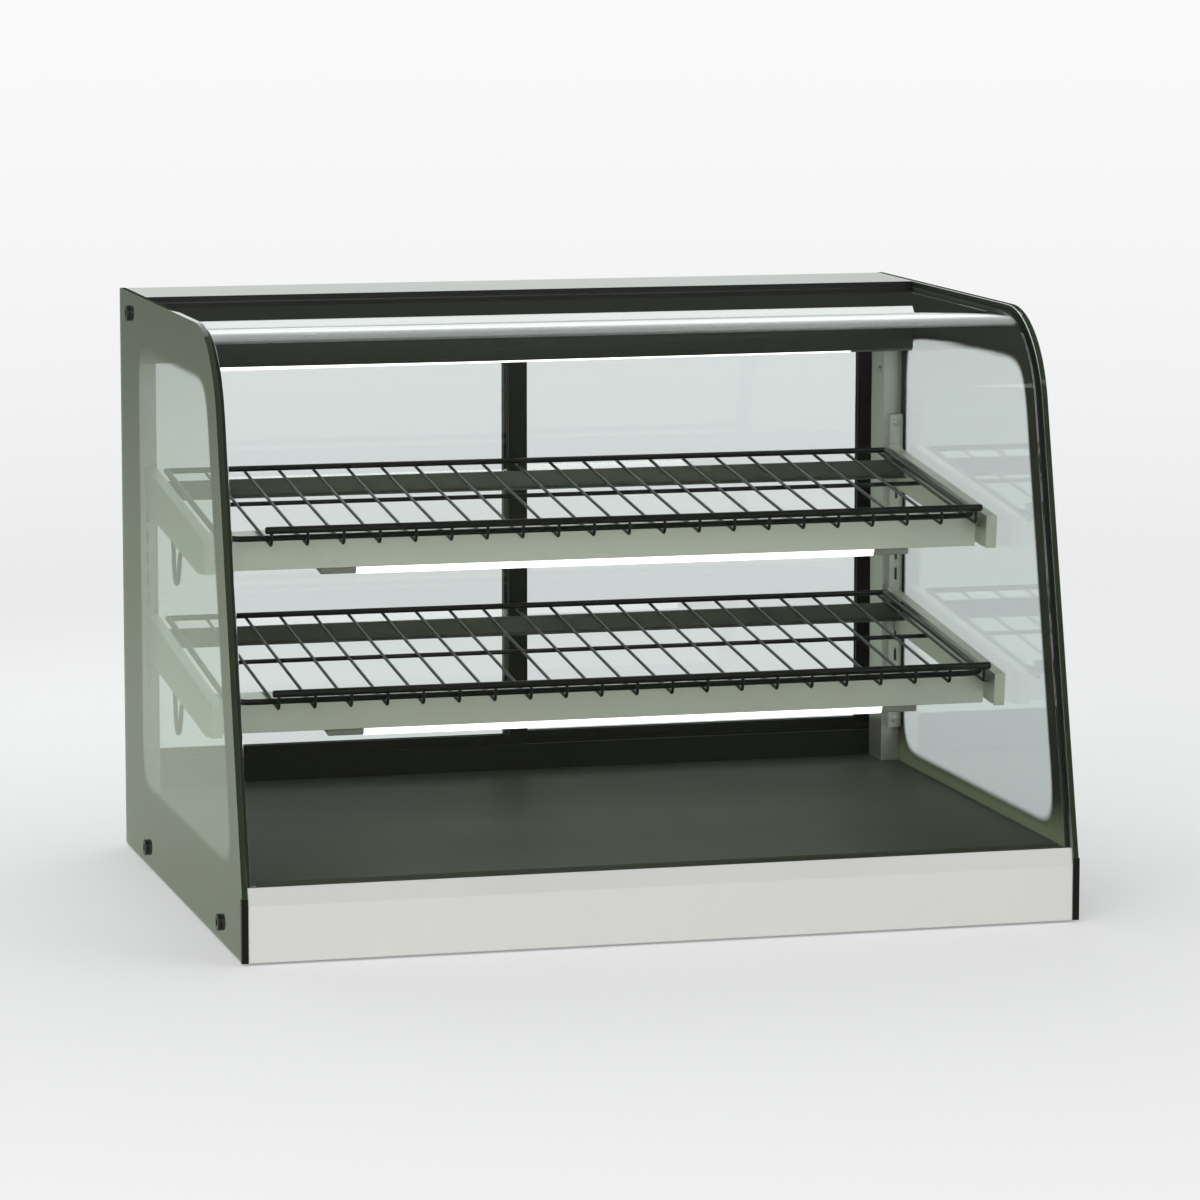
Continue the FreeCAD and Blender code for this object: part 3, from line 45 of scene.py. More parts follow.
# Places of the case that the finishes and added pieces follow, in metres
HALF_DEPTH = 0.3555
LEAN = math.radians(13.5)
LEAN_START = 0.070
GLASS_FRONT = -HALF_DEPTH + 0.0012
CROWN_RADIUS = 0.120
STANDARD_FACE = 0.2475
HEADER_FRONT = 0.2185
SHELVES = ("upper", "lower")
SHELF_TILT = math.radians(6.5)
SHELF_HOOK = {"upper": 0.445, "lower": 0.277}
SHELF_REACH = {"upper": 0.359, "lower": 0.393}


# Node helpers
def group_of(name, inputs, outputs):
    """An empty node group with named sockets, what it is given and what it hands out."""
    tree = bpy.data.node_groups.new(name, "ShaderNodeTree")
    for title, kind, value in inputs:
        socket = tree.interface.new_socket(title, in_out="INPUT", socket_type=kind)
        socket.default_value = value
    for title, kind in outputs:
        tree.interface.new_socket(title, in_out="OUTPUT", socket_type=kind)
    return tree, tree.nodes.new("NodeGroupInput").outputs, tree.nodes.new("NodeGroupOutput").inputs


def add(tree, kind, **settings):
    """A node with its properties set."""
    node = tree.nodes.new(kind)
    for key, value in settings.items():
        setattr(node, key, value)
    return node


def feed(tree, value, socket):
    """An input gets a link from another socket, or a plain value."""
    if isinstance(value, bpy.types.NodeSocket):
        tree.links.new(value, socket)
    else:
        socket.default_value = value


def feed_in_order(tree, node, values):
    for value, socket in zip(values, node.inputs):
        feed(tree, value, socket)
    return node.outputs[0]


def maths(tree, operation, *values):
    return feed_in_order(tree, add(tree, "ShaderNodeMath", operation=operation), values)


def ranged(tree, value, start, end, low, high):
    """A value from start to end, turned into one from low to high and held there."""
    return feed_in_order(tree, add(tree, "ShaderNodeMapRange"), (value, start, end, low, high))


def blend(tree, share, first, second):
    """The first shader where the share is 0, the second where it is 1."""
    return feed_in_order(tree, add(tree, "ShaderNodeMixShader"), (share, first, second))


def blend_colours(tree, share, first, second):
    """A mix node keeps its colours at inputs 6 and 7, and the mixed colour at output 2."""
    node = add(tree, "ShaderNodeMix", data_type="RGBA")
    for place, value in ((0, share), (6, first), (7, second)):
        feed(tree, value, node.inputs[place])
    return node.outputs[2]


def scaled(tree, colour, share):
    node = add(tree, "ShaderNodeVectorMath", operation="SCALE")
    feed(tree, colour, node.inputs["Vector"])
    feed(tree, share, node.inputs["Scale"])
    return node.outputs[0]


def noise(tree, place, **settings):
    """Noise at a place. The settings are the node's inputs by name."""
    node = add(tree, "ShaderNodeTexNoise")
    feed(tree, place, node.inputs["Vector"])
    for title, value in settings.items():
        feed(tree, value, node.inputs[title])
    return node.outputs[0]


def object_place(tree):
    return add(tree, "ShaderNodeTexCoord").outputs["Object"]


def parts_of(tree, place):
    """The X, Y and Z of a place."""
    node = add(tree, "ShaderNodeSeparateXYZ")
    feed(tree, place, node.inputs[0])
    return node.outputs


# Effects that several finishes share
FINISH_OUTPUTS = [("Colour", "NodeSocketColor"), ("Rough", "NodeSocketFloat"), ("Height", "NodeSocketFloat")]


def powder_coat_group():
    """Fine orange peel, slow tone drift and uneven gloss of a sprayed coat."""
    tree, given, out = group_of(
        "powder_coat",
        [("Colour", "NodeSocketColor", (0.5, 0.5, 0.5, 1)), ("Drift", "NodeSocketFloat", 0.06),
         ("Rough", "NodeSocketFloat", 0.4), ("Rough Drift", "NodeSocketFloat", 0.08),
         ("Grain Scale", "NodeSocketFloat", 900.0)],
        FINISH_OUTPUTS,
    )
    place = object_place(tree)
    slow = noise(tree, place, Scale=9.0, Detail=4.0)
    fine = noise(tree, place, Scale=given["Grain Scale"], Detail=2.0)
    centred = maths(tree, "SUBTRACT", slow, 0.5)
    tone = maths(tree, "MULTIPLY_ADD", centred, given["Drift"], 1.0)
    mixed = maths(tree, "MULTIPLY_ADD", maths(tree, "SUBTRACT", fine, 0.5), 0.5, centred)
    rough = maths(tree, "MULTIPLY_ADD", mixed, given["Rough Drift"], given["Rough"])
    feed(tree, scaled(tree, given["Colour"], tone), out["Colour"])
    feed(tree, rough, out["Rough"])
    feed(tree, fine, out["Height"])
    return tree


def brushed_group():
    """Long fine scratches of a brushed or drawn metal surface along one axis."""
    tree, given, out = group_of(
        "brushed_lines",
        [("Colour", "NodeSocketColor", (0.6, 0.6, 0.6, 1)),
         ("Stretch", "NodeSocketVector", (20.0, 900.0, 900.0)), ("Contrast", "NodeSocketFloat", 0.12),
         ("Rough", "NodeSocketFloat", 0.3), ("Rough Drift", "NodeSocketFloat", 0.14)],
        FINISH_OUTPUTS,
    )
    place = object_place(tree)
    stretched = add(tree, "ShaderNodeVectorMath", operation="MULTIPLY")
    lines_place = feed_in_order(tree, stretched, (place, given["Stretch"]))
    lines = noise(tree, lines_place, Scale=1.0, Detail=5.0, Roughness=0.65)
    slow = noise(tree, place, Scale=6.0, Detail=3.0)
    centred = maths(tree, "SUBTRACT", maths(tree, "MULTIPLY_ADD", slow, 0.5, lines), 0.75)
    tone = maths(tree, "MULTIPLY_ADD", centred, given["Contrast"], 1.0)
    rough = maths(tree, "MULTIPLY_ADD", centred, given["Rough Drift"], given["Rough"])
    feed(tree, scaled(tree, given["Colour"], tone), out["Colour"])
    feed(tree, rough, out["Rough"])
    feed(tree, lines, out["Height"])
    return tree


def wiped_glass_group():
    """The faint uneven film that wiping leaves on glass, as a roughness."""
    tree, given, out = group_of(
        "wiped_glass", [("Film", "NodeSocketFloat", 0.02)], [("Rough", "NodeSocketFloat")],
    )
    swirl = noise(tree, object_place(tree), Scale=7.0, Detail=4.0, Lacunarity=1.0, Distortion=1.2)
    strong = maths(tree, "POWER", swirl, 3.0)
    feed(tree, maths(tree, "MULTIPLY", strong, given["Film"]), out["Rough"])
    return tree


POWDER = powder_coat_group()
BRUSHED = brushed_group()
WIPED = wiped_glass_group()

# Finishes
COAT_RELIEF = 0.00006
BRUSH_RELIEF = 0.0001
BRUSH_ALONG, BRUSH_ACROSS = 12.0, 1400.0
GLASS_INDEX = 1.48
DULL = {"Specular_IOR_Level": 0.2}


def new_material(name):
    """A material with only its shader and output."""
    material = bpy.data.materials.new(name)
    material.use_nodes = True
    shader = material.node_tree.nodes["Principled BSDF"]
    return material, material.node_tree, shader


def constants(shader, **values):
    for key, value in values.items():
        shader.inputs[key.replace("_", " ")].default_value = value


def surface(material_name, effect, settings, bump, depth, **values):
    """A finish whose colour, roughness and bump come from a shared effect."""
    material, tree, shader = new_material(material_name)
    constants(shader, **values)
    source = add(tree, "ShaderNodeGroup", node_tree=effect)
    for title, value in settings.items():
        source.inputs[title].default_value = value
    feed(tree, source.outputs["Colour"], shader.inputs["Base Color"])
    feed(tree, source.outputs["Rough"], shader.inputs["Roughness"])
    relief = add(tree, "ShaderNodeBump")
    relief.inputs["Strength"].default_value = bump
    relief.inputs["Distance"].default_value = depth
    feed(tree, source.outputs["Height"], relief.inputs["Height"])
    feed(tree, relief.outputs[0], shader.inputs["Normal"])
    return material


def coated(name, colour, rough, drift=0.06, rough_drift=0.1, grain=900.0, bump=0.12, **values):
    settings = {
        "Colour": (*colour, 1), "Drift": drift, "Rough": rough, "Rough Drift": rough_drift, "Grain Scale": grain,
    }
    return surface(name, POWDER, settings, bump, COAT_RELIEF, **values)


def brushed(name, colour, rough, along, contrast=0.14, bump=0.05, **values):
    stretch = [BRUSH_ALONG if axis == along else BRUSH_ACROSS for axis in "xyz"]
    settings = {"Colour": (*colour, 1), "Stretch": stretch, "Contrast": contrast, "Rough": rough}
    return surface(name, BRUSHED, settings, bump, BRUSH_RELIEF, **values)


def glass(name, tint, film):
    """Clear sheet glass. Lamps reach through it, so shadow rays pass with the tint."""
    material, tree, shader = new_material(name)
    constants(shader, Transmission_Weight=1.0, IOR=GLASS_INDEX, Base_Color=(*tint, 1))
    wiped = add(tree, "ShaderNodeGroup", node_tree=WIPED)
    wiped.inputs["Film"].default_value = film
    feed(tree, wiped.outputs["Rough"], shader.inputs["Roughness"])
    rays = add(tree, "ShaderNodeLightPath")
    through = add(tree, "ShaderNodeBsdfTransparent")
    through.inputs[0].default_value = (*tint, 1)
    choice = blend(tree, rays.outputs["Is Shadow Ray"], shader.outputs[0], through.outputs[0])
    feed(tree, choice, tree.nodes["Material Output"].inputs["Surface"])
    return material


def lit(name, colour, glow, strength):
    """A frosted white diffuser with its lamp on behind it."""
    material = coated(name, colour, 0.5, drift=0.02, grain=500.0, bump=0.04)
    tree = material.node_tree
    shader = tree.nodes["Principled BSDF"]
    constants(shader, Emission_Strength=strength)
    cloud = noise(tree, object_place(tree), Scale=14.0, Detail=2.0)
    feed(tree, scaled(tree, glow, ranged(tree, cloud, 0.3, 0.7, 0.94, 1.0)), shader.inputs["Emission Color"])
    return material


FINISHES = {
    "black_sheet": coated("black_powder_coat", (0.020, 0.023, 0.014), 0.45, bump=0.06, **DULL),
    "foot_rubber": coated("foot_rubber", (0.02, 0.02, 0.02), 0.8, grain=2500.0, bump=0.3),
    "apron_metal": coated("apron_powder_coat", (0.79, 0.785, 0.765), 0.32, drift=0.03, bump=0.06, Metallic=0.22),
    # Black laminate; the green tint in its colour is a painted reflection of the right end glass
    "deck_black": coated("deck_laminate_painted_reflection", (0.047, 0.055, 0.036), 0.42, grain=1500.0, bump=0.04, **DULL),
    "track_black": coated("track_black_anodised", (0.010, 0.011, 0.008), 0.42, drift=0.03, bump=0.015, **DULL),
    "bolt_black": coated("bolt_black_oxide", (0.014, 0.014, 0.014), 0.34, grain=2200.0),
    "trim_black": coated("trim_black_anodised", (0.007, 0.007, 0.006), 0.35, grain=1800.0, bump=0.03, **DULL),
    "seal_black": coated("seal_black_rubber", (0.012, 0.012, 0.012), 0.55, grain=2000.0, bump=0.2),
    "black_plastic": coated("black_moulded_plastic", (0.02, 0.02, 0.02), 0.5, grain=1500.0, bump=0.25),
    "rocker_black": coated("rocker_gloss_plastic", (0.015, 0.015, 0.015), 0.2, grain=1200.0, bump=0.03),
    "white_plastic": coated("white_moulded_plastic", (0.72, 0.72, 0.69), 0.45),
    "glide_plastic": coated("glide_nylon", (0.66, 0.65, 0.6), 0.5),
    "ballast_white": coated("ballast_enamel", (0.7, 0.7, 0.68), 0.3),
    "holder_olive": coated("holder_olive_plastic", (0.2, 0.205, 0.165), 0.42),
    "wire_black": coated(
        "wire_black_coat", (0.006, 0.006, 0.005), 0.32, grain=1300.0, bump=0.1, Specular_IOR_Level=0.35,
    ),
    "lead_black": coated("lead_black_jacket", (0.014, 0.014, 0.014), 0.48, grain=1600.0, bump=0.15),
    "satin_aluminium": brushed("satin_aluminium", (0.52, 0.525, 0.49), 0.34, "z", Metallic=0.85),
    "bar_metal": brushed("bar_satin_metal", (0.67, 0.69, 0.605), 0.34, "x", Metallic=0.6),
    "bracket_metal": brushed("bracket_satin_metal", (0.50, 0.52, 0.44), 0.36, "y", Metallic=0.6),
    "pin_steel": brushed("pin_steel", (0.5, 0.5, 0.49), 0.3, "x", Metallic=1.0),
    "lens_white": lit("lens_lit_white", (0.9, 0.9, 0.84), (1.0, 0.98, 0.9), 2.2),
    "lamp_white": lit("lamp_lit_white", (0.95, 0.95, 0.92), (1.0, 0.98, 0.92), 3.0),
    "end_glass": glass("end_glass_clear", (0.87, 0.928, 0.93), 0.008),
    "front_glass": glass("front_glass_clear", (0.955, 0.97, 0.968), 0.008),
    "door_glass": glass("door_glass_clear", (0.885, 0.93, 0.925), 0.004),
}

# Finishes of single pieces
LIP_DEPTH = (0.0003, 0.0007)
# Painted shade: how dark the header's front lip is made, standing for the shadow line at its front edge
LIP_PAINTED_SHADE = 0.02
LENS_CAP = 0.372
CAP_BLUR = 0.004
CAP_SHADE = 0.015


def shade(material, share, *titles):
    """Darkens linked inputs of a finish by a share that varies over the piece."""
    tree = material.node_tree
    shader = tree.nodes["Principled BSDF"]
    for title in titles:
        bare = shader.inputs[title].links[0].from_socket
        feed(tree, scaled(tree, bare, share), shader.inputs[title])
    return material


def header_finish():
    """Pale satin metal, its front lip darkened nearly to black as painted shade."""
    material = brushed("header_pale_satin", (0.60, 0.615, 0.585), 0.45, "x", contrast=0.08, Metallic=0.1)
    tree = material.node_tree
    x, y, z = parts_of(tree, object_place(tree))
    start, end = (HEADER_FRONT + depth for depth in LIP_DEPTH)
    # Painted shade: the front lip is darkened nearly to black, standing for the shadow line along the header's
    # front edge
    return shade(material, ranged(tree, y, start, end, LIP_PAINTED_SHADE, 1.0), "Base Color")


def capped_lens_finish():
    """The long lens under the header: lit along the tube, with dark caps at both ends."""
    material = lit("capped_lens_white", (0.9, 0.9, 0.84), (1.0, 0.98, 0.9), 2.2)
    tree = material.node_tree
    x, y, z = parts_of(tree, object_place(tree))
    cap = ranged(tree, maths(tree, "ABSOLUTE", x), LENS_CAP, LENS_CAP + CAP_BLUR, 1.0, CAP_SHADE)
    return shade(material, cap, "Base Color", "Emission Color")


# Painted shade: the stretchers get a darkened metal colour, standing for the shade and dark reflections they sit
# in
stretcher_painted_shade_finish = brushed("stretcher_metal_painted_shade", (0.085, 0.09, 0.07), 0.4, "x", Metallic=0.5)
for row in frame["record"]["subparts"]:
    piece = nodes[row["node"]]
    piece.data.materials.clear()
    piece.data.materials.append(FINISHES[row["material_slot"]])
nodes["header_cover"].data.materials[0] = header_finish()
nodes["top_lens"].data.materials[0] = capped_lens_finish()
nodes["front_glass_rail"].data.materials[0] = FINISHES["deck_black"]
for shelf in SHELVES:
    nodes[f"{shelf}_stretcher"].data.materials[0] = stretcher_painted_shade_finish


# Modelling helpers
def start_piece():
    """Object mode with nothing selected, so that only the new piece is worked on."""
    if bpy.context.object and bpy.context.object.mode != "OBJECT":
        bpy.ops.object.mode_set(mode="OBJECT")
    bpy.ops.object.select_all(action="DESELECT")


def work_on(piece):
    start_piece()
    piece.select_set(True)
    bpy.context.view_layer.objects.active = piece


def set_in_place():
    """The object goes to the origin, and its place, turn and size into its mesh."""
    bpy.ops.object.transform_apply(location=True, rotation=True, scale=True)
    return bpy.context.object


def start_block(name, low, high):
    """A block between two corners, to be shaped further."""
    start_piece()
    bpy.ops.mesh.primitive_cube_add(size=1)
    piece = bpy.context.object
    piece.name = name
    piece.location = [(a + b) / 2 for a, b in zip(low, high)]
    piece.scale = [b - a for a, b in zip(low, high)]
    return set_in_place()


def start_rod(name, sides, radius, length, place, turn=(0, 0, 0)):
    """A rod around a place, to be shaped further."""
    start_piece()
    bpy.ops.mesh.primitive_cylinder_add(
        vertices=sides, radius=radius, depth=length, location=place, rotation=turn,
    )
    bpy.context.object.name = name
    return set_in_place()


def pick(piece, kind, test):
    """Edit mode with only those edges or faces selected whose middle passes a test."""
    bpy.ops.object.mode_set(mode="EDIT")
    bpy.ops.mesh.select_mode(type=kind)
    bpy.ops.mesh.select_all(action="DESELECT")
    bpy.ops.object.mode_set(mode="OBJECT")
    mesh = piece.data
    for row in {"EDGE": mesh.edges, "FACE": mesh.polygons}[kind]:
        if kind == "EDGE":
            middle = (mesh.vertices[row.vertices[0]].co + mesh.vertices[row.vertices[1]].co) / 2
        else:
            middle = row.center
        row.select = bool(test(middle))
    bpy.ops.object.mode_set(mode="EDIT")


def close_piece(piece, angle=40):
    """Doubles merged, faces outwards, round faces shaded smooth."""
    bpy.ops.object.mode_set(mode="EDIT")
    bpy.ops.mesh.select_all(action="SELECT")
    bpy.ops.mesh.remove_doubles(threshold=0.000002)
    bpy.ops.mesh.normals_make_consistent(inside=False)
    bpy.ops.object.mode_set(mode="OBJECT")
    bpy.ops.object.shade_smooth_by_angle(angle=math.radians(angle))
    return piece


def copy_to(piece, name, matrix):
    """A copy with its own mesh, moved and turned in its mesh."""
    twin = piece.copy()
    twin.data = piece.data.copy()
    twin.name = name
    scene.collection.objects.link(twin)
    twin.matrix_world = matrix
    work_on(twin)
    return set_in_place()


def join_pieces(name, pieces):
    work_on(pieces[0])
    for piece in pieces:
        piece.select_set(True)
    bpy.ops.object.join()
    bpy.context.object.name = name
    return bpy.context.object


def finished(piece, body, slot):
    piece.data.materials.clear()
    piece.data.materials.append(FINISHES[slot])
    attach(piece, body)


# Printed borders on the inner faces of the end glasses
OLIVE_THROUGH_GLASS = (0.068, 0.081, 0.047, 1)
INK_DARK = (0.028, 0.032, 0.021, 1)
# Painted lamp light: the printed side turns lighter olive towards the foot, where the lower lamp would light it
PAINTED_LAMP_LIGHT_AT_FOOT = (0.19, 0.225, 0.14, 1)
PAINTED_LIGHT_TOP, PAINTED_LIGHT_FULL = 0.125, 0.085
WINDOW_REAR, WINDOW_TOP, WINDOW_BOTTOM = 0.2495, 0.600, 0.084
FRONT_BAND = 0.046
WINDOW_CORNER = 0.07
DOT_FADE = 0.016
DOT_PITCH = 0.0026
DOT_BLUR = 0.12
FADE_SPREAD = 0.2
FILM_SIDES = {"left": (-0.4512, -0.4507), "right": (0.4507, 0.4512)}
FILM_MIDDLE = 0.451
FILM_FOOT, FILM_TOP = 0.0032, 0.6472
CROWN_STEPS = 28


def border_finish():
    """Olive through the glass, dark on the printed side with painted lamp light towards its foot. Solid at the
    edges, then shrinking dots, then clear.
    """
    material, tree, shader = new_material("printed_black_border")
    constants(shader, Specular_IOR_Level=0.05)
    effect = add(tree, "ShaderNodeGroup", node_tree=POWDER)
    effect.inputs["Rough"].default_value = 0.5
    feed(tree, effect.outputs["Colour"], shader.inputs["Base Color"])
    feed(tree, effect.outputs["Rough"], shader.inputs["Roughness"])
    wide, deep, high = parts_of(tree, object_place(tree))
    # Painted lamp light: dark print above, blending into lighter olive towards the foot
    ink_with_painted_light = blend_colours(tree, ranged(tree, high, PAINTED_LIGHT_TOP, PAINTED_LIGHT_FULL, 0.0, 1.0), INK_DARK, PAINTED_LAMP_LIGHT_AT_FOOT)
    outer = maths(tree, "GREATER_THAN", maths(tree, "ABSOLUTE", wide), FILM_MIDDLE)
    feed(tree, blend_colours(tree, outer, ink_with_painted_light, OLIVE_THROUGH_GLASS), effect.inputs["Colour"])

    # How far a place is inside the window, with rounded corners
    offset = -GLASS_FRONT * math.cos(LEAN) + LEAN_START * math.sin(LEAN) - FRONT_BAND
    across = maths(tree, "MULTIPLY_ADD", deep, math.cos(LEAN), offset)
    inside = maths(tree, "SUBTRACT", WINDOW_REAR, deep)
    for edge in (
        maths(tree, "SUBTRACT", WINDOW_TOP, high),
        maths(tree, "SUBTRACT", high, WINDOW_BOTTOM),
        maths(tree, "MULTIPLY_ADD", high, -math.sin(LEAN), across),
    ):
        inside = maths(tree, "SMOOTH_MIN", inside, edge, WINDOW_CORNER)

    fade = ranged(tree, inside, 0.0, DOT_FADE, -FADE_SPREAD, 1 + FADE_SPREAD)
    wave = 2 * math.pi / DOT_PITCH
    rows = maths(tree, "COSINE", maths(tree, "MULTIPLY", deep, wave))
    columns = maths(tree, "COSINE", maths(tree, "MULTIPLY", high, wave))
    dots = maths(tree, "MULTIPLY_ADD", maths(tree, "MULTIPLY", rows, columns), 0.5, 0.5)
    cover = ranged(tree, maths(tree, "SUBTRACT", dots, fade), -DOT_BLUR, DOT_BLUR, 0.0, 1.0)
    feed(tree, cover, shader.inputs["Alpha"])
    return material


def printed_border(hand, finish):
    """A film as large as the pane, fired into its inner face: leaning front, round crown, level top."""
    left, right = FILM_SIDES[hand]
    front = GLASS_FRONT + 0.0006
    film = start_block(
        f"printed_border_{hand}", (left, front, FILM_FOOT), (right, HALF_DEPTH - 0.0008, FILM_TOP),
    )
    bpy.ops.object.mode_set(mode="EDIT")
    bpy.ops.mesh.select_all(action="SELECT")
    bpy.ops.mesh.bisect(
        plane_co=(0, front, LEAN_START), plane_no=(0, -math.cos(LEAN), math.sin(LEAN)),
        use_fill=True, clear_outer=True,
    )
    bpy.ops.object.mode_set(mode="OBJECT")
    crown = front + (FILM_TOP - LEAN_START) * math.tan(LEAN)
    pick(film, "EDGE", lambda at: abs(at.y - crown) < 0.0005 and abs(at.z - FILM_TOP) < 0.0005)
    tangent = CROWN_RADIUS * math.tan((math.pi / 2 - LEAN) / 2)
    bpy.ops.mesh.bevel(
        offset=tangent, offset_type="OFFSET", segments=CROWN_STEPS, profile=0.5, affect="EDGES",
    )
    close_piece(film, 30)
    film.data.materials.append(finish)
    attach(film, "cabinet")


# Wire shelves: wires turned up to the stop rail, a bent frame on top, one brace below
WIRE = 0.0035
WIRE_SIDES = 12
WIRE_BEND = 0.005
WIRE_REAR = 0.004
WIRE_ROW = 0.794
WIRE_SHIFT = 0.022
WIRE_COUNT = 21
FRAME_ROD = 0.0065
FRAME_SIDES = 14
FRAME_BEND = 0.018
FRAME_LEFT, FRAME_RIGHT = -0.421, 0.424
FRAME_SETBACK = 0.016
BRACE_ROD = 0.005
BRACE_SETBACK = 0.215
STOP_ROD = 0.008
STOP_RISE = 0.0175
STOP_OVERHANG = 0.014
WELD_DEPTH = 0.0006
ROD_SIDES = 16
SIDEWAYS = (0, math.pi / 2, 0)


def start_ring(name, sides, radius, place):
    """A filled ring that faces along the depth, to be drawn out into a wire."""
    start_piece()
    bpy.ops.mesh.primitive_circle_add(
        vertices=sides, radius=radius, fill_type="NGON", location=place, rotation=(math.pi / 2, 0, 0),
    )
    bpy.context.object.name = name
    piece = set_in_place()
    bpy.ops.object.mode_set(mode="EDIT")
    bpy.ops.mesh.select_all(action="SELECT")
    return piece


def draw_out(x=0.0, y=0.0, z=0.0):
    bpy.ops.mesh.extrude_region_move(TRANSFORM_OT_translate={"value": (x, y, z)})


def turn_round(centre, axis, angle, steps):
    """A bend by the right-hand rule; the spin itself turns the other way."""
    bpy.ops.mesh.spin(steps=steps, angle=-angle, center=centre, axis=axis)


def shelf_wire(reach):
    """One wire: straight from the back, a short bend, up to the rail."""
    wire = start_ring("shelf_wire", WIRE_SIDES, WIRE / 2, (0, -WIRE_REAR, 0))
    draw_out(y=-(reach - WIRE_BEND - WIRE_REAR))
    turn_round((0, -reach + WIRE_BEND, WIRE_BEND), (1, 0, 0), -math.pi / 2, 6)
    draw_out(z=STOP_RISE - STOP_ROD / 2 - WIRE_BEND + WELD_DEPTH)
    return close_piece(wire)


def bent_frame(name, rear, bow, level):
    """The frame rod: forwards on the left, along the front, back on the right."""
    rod = start_ring(name, FRAME_SIDES, FRAME_ROD / 2, (FRAME_LEFT, rear, level))
    corner = bow + FRAME_BEND
    draw_out(y=corner - rear)
    turn_round((FRAME_LEFT + FRAME_BEND, corner, level), (0, 0, 1), math.pi / 2, 8)
    draw_out(x=FRAME_RIGHT - FRAME_LEFT - 2 * FRAME_BEND)
    turn_round((FRAME_RIGHT - FRAME_BEND, corner, level), (0, 0, 1), math.pi / 2, 8)
    draw_out(y=rear - bow - FRAME_BEND)
    return close_piece(rod)


def rounded_rod(name, thick, length, place):
    """A rod from left to right with rounded ends."""
    rod = start_rod(name, ROD_SIDES, thick / 2, length, place, SIDEWAYS)
    ends = [place[0] - length / 2, place[0] + length / 2]
    pick(rod, "FACE", lambda at: min(abs(at.x - end) for end in ends) < 0.0001)
    bpy.ops.mesh.bevel(offset=thick / 4, segments=3, profile=0.5, affect="EDGES")
    return close_piece(rod)


def shelf_matrix(shelf):
    """From the level drawing of a shelf to its place in the case."""
    return Matrix.Translation((0, STANDARD_FACE, SHELF_HOOK[shelf])) @ Matrix.Rotation(SHELF_TILT, 4, "X")


def wire_shelf(shelf):
    reach = SHELF_REACH[shelf]
    over = (WIRE + FRAME_ROD) / 2
    under = -(WIRE + BRACE_ROD) / 2
    rear = -WIRE_REAR - FRAME_ROD
    middle = (FRAME_LEFT + FRAME_RIGHT) / 2
    rear_length = FRAME_RIGHT - FRAME_LEFT + FRAME_ROD * 0.9
    brace_length = WIRE_ROW + 2 * FRAME_ROD
    stop_length = WIRE_ROW + STOP_OVERHANG
    pieces = []
    model = shelf_wire(reach)
    for number in range(WIRE_COUNT):
        x = WIRE_SHIFT + (number / (WIRE_COUNT - 1) - 0.5) * WIRE_ROW
        pieces.append(copy_to(model, f"{shelf}_wire_{number}", Matrix.Translation((x, 0, 0))))
    bpy.data.objects.remove(model)
    pieces += [
        bent_frame(f"{shelf}_frame_rod", rear, -reach + FRAME_SETBACK, over),
        rounded_rod(f"{shelf}_rear_rod", FRAME_ROD, rear_length, (middle, rear, over)),
        rounded_rod(f"{shelf}_brace", BRACE_ROD, brace_length, (WIRE_SHIFT, -reach + BRACE_SETBACK, under)),
        rounded_rod(f"{shelf}_stop", STOP_ROD, stop_length, (WIRE_SHIFT, -reach, STOP_RISE)),
    ]
    whole = join_pieces(f"{shelf}_wire_shelf", pieces)
    whole.matrix_world = shelf_matrix(shelf)
    work_on(whole)
    set_in_place()
    finished(whole, "cabinet", "wire_black")
    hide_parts(f"{shelf}_grid", f"{shelf}_stop_rail")


# Lamp leads: out of the left holder, back along the bracket, one hanging loop, into the socket
LEAD = 0.005
LEAD_LEVEL = -0.03415
LEAD_START = {"upper": -0.3055, "lower": -0.3395}
LEAD_EXIT = -0.313
LEAD_SIDE = -0.435
LEAD_TURN = 0.046
LOOP_LOW = LEAD_LEVEL - 0.055
SOCKET_SIDE = -0.4205
SOCKET_RUN = (-0.021, 0.025)


def lead_route(shelf):
    """The lead's points in the level drawing of its shelf, then set into the case."""
    near = LEAD_START[shelf]
    upright = Matrix.Rotation(-SHELF_TILT, 4, "X")
    route = [
        (LEAD_EXIT, near, LEAD_LEVEL),
        (LEAD_SIDE + LEAD_TURN, near, LEAD_LEVEL),
        (LEAD_SIDE, near + LEAD_TURN, LEAD_LEVEL),
        (LEAD_SIDE, -0.179, LEAD_LEVEL),
        (LEAD_SIDE, -0.167, LOOP_LOW),
        (LEAD_SIDE, -0.143, LOOP_LOW),
        (LEAD_SIDE, -0.131, LEAD_LEVEL),
        (LEAD_SIDE, -0.085, LEAD_LEVEL),
        *(upright @ Vector((SOCKET_SIDE, y, LEAD_LEVEL)) for y in SOCKET_RUN),
    ]
    return [shelf_matrix(shelf) @ Vector(point) for point in route]


def lamp_lead(shelf):
    points = lead_route(shelf)
    data = bpy.data.curves.new(f"{shelf}_lead_curve", "CURVE")
    data.dimensions = "3D"
    data.resolution_u = 12
    data.bevel_depth = 1.0
    data.bevel_resolution = 3
    data.use_fill_caps = True
    spline = data.splines.new("NURBS")
    spline.points.add(len(points) - 1)
    for spot, point in zip(spline.points, points):
        spot.co = (*point, 1)
        spot.radius = LEAD / 2
    spline.order_u = 3
    spline.use_endpoint_u = True
    lead = bpy.data.objects.new(f"{shelf}_lead", data)
    scene.collection.objects.link(lead)
    finished(lead, "cabinet", "lead_black")
    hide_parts(f"{shelf}_lamp_lead")

    # A mesh of the bare line, without its thickness, is made
    data.bevel_depth = 0
    line = bpy.data.meshes.new_from_object(lead)
    data.bevel_depth = 1.0


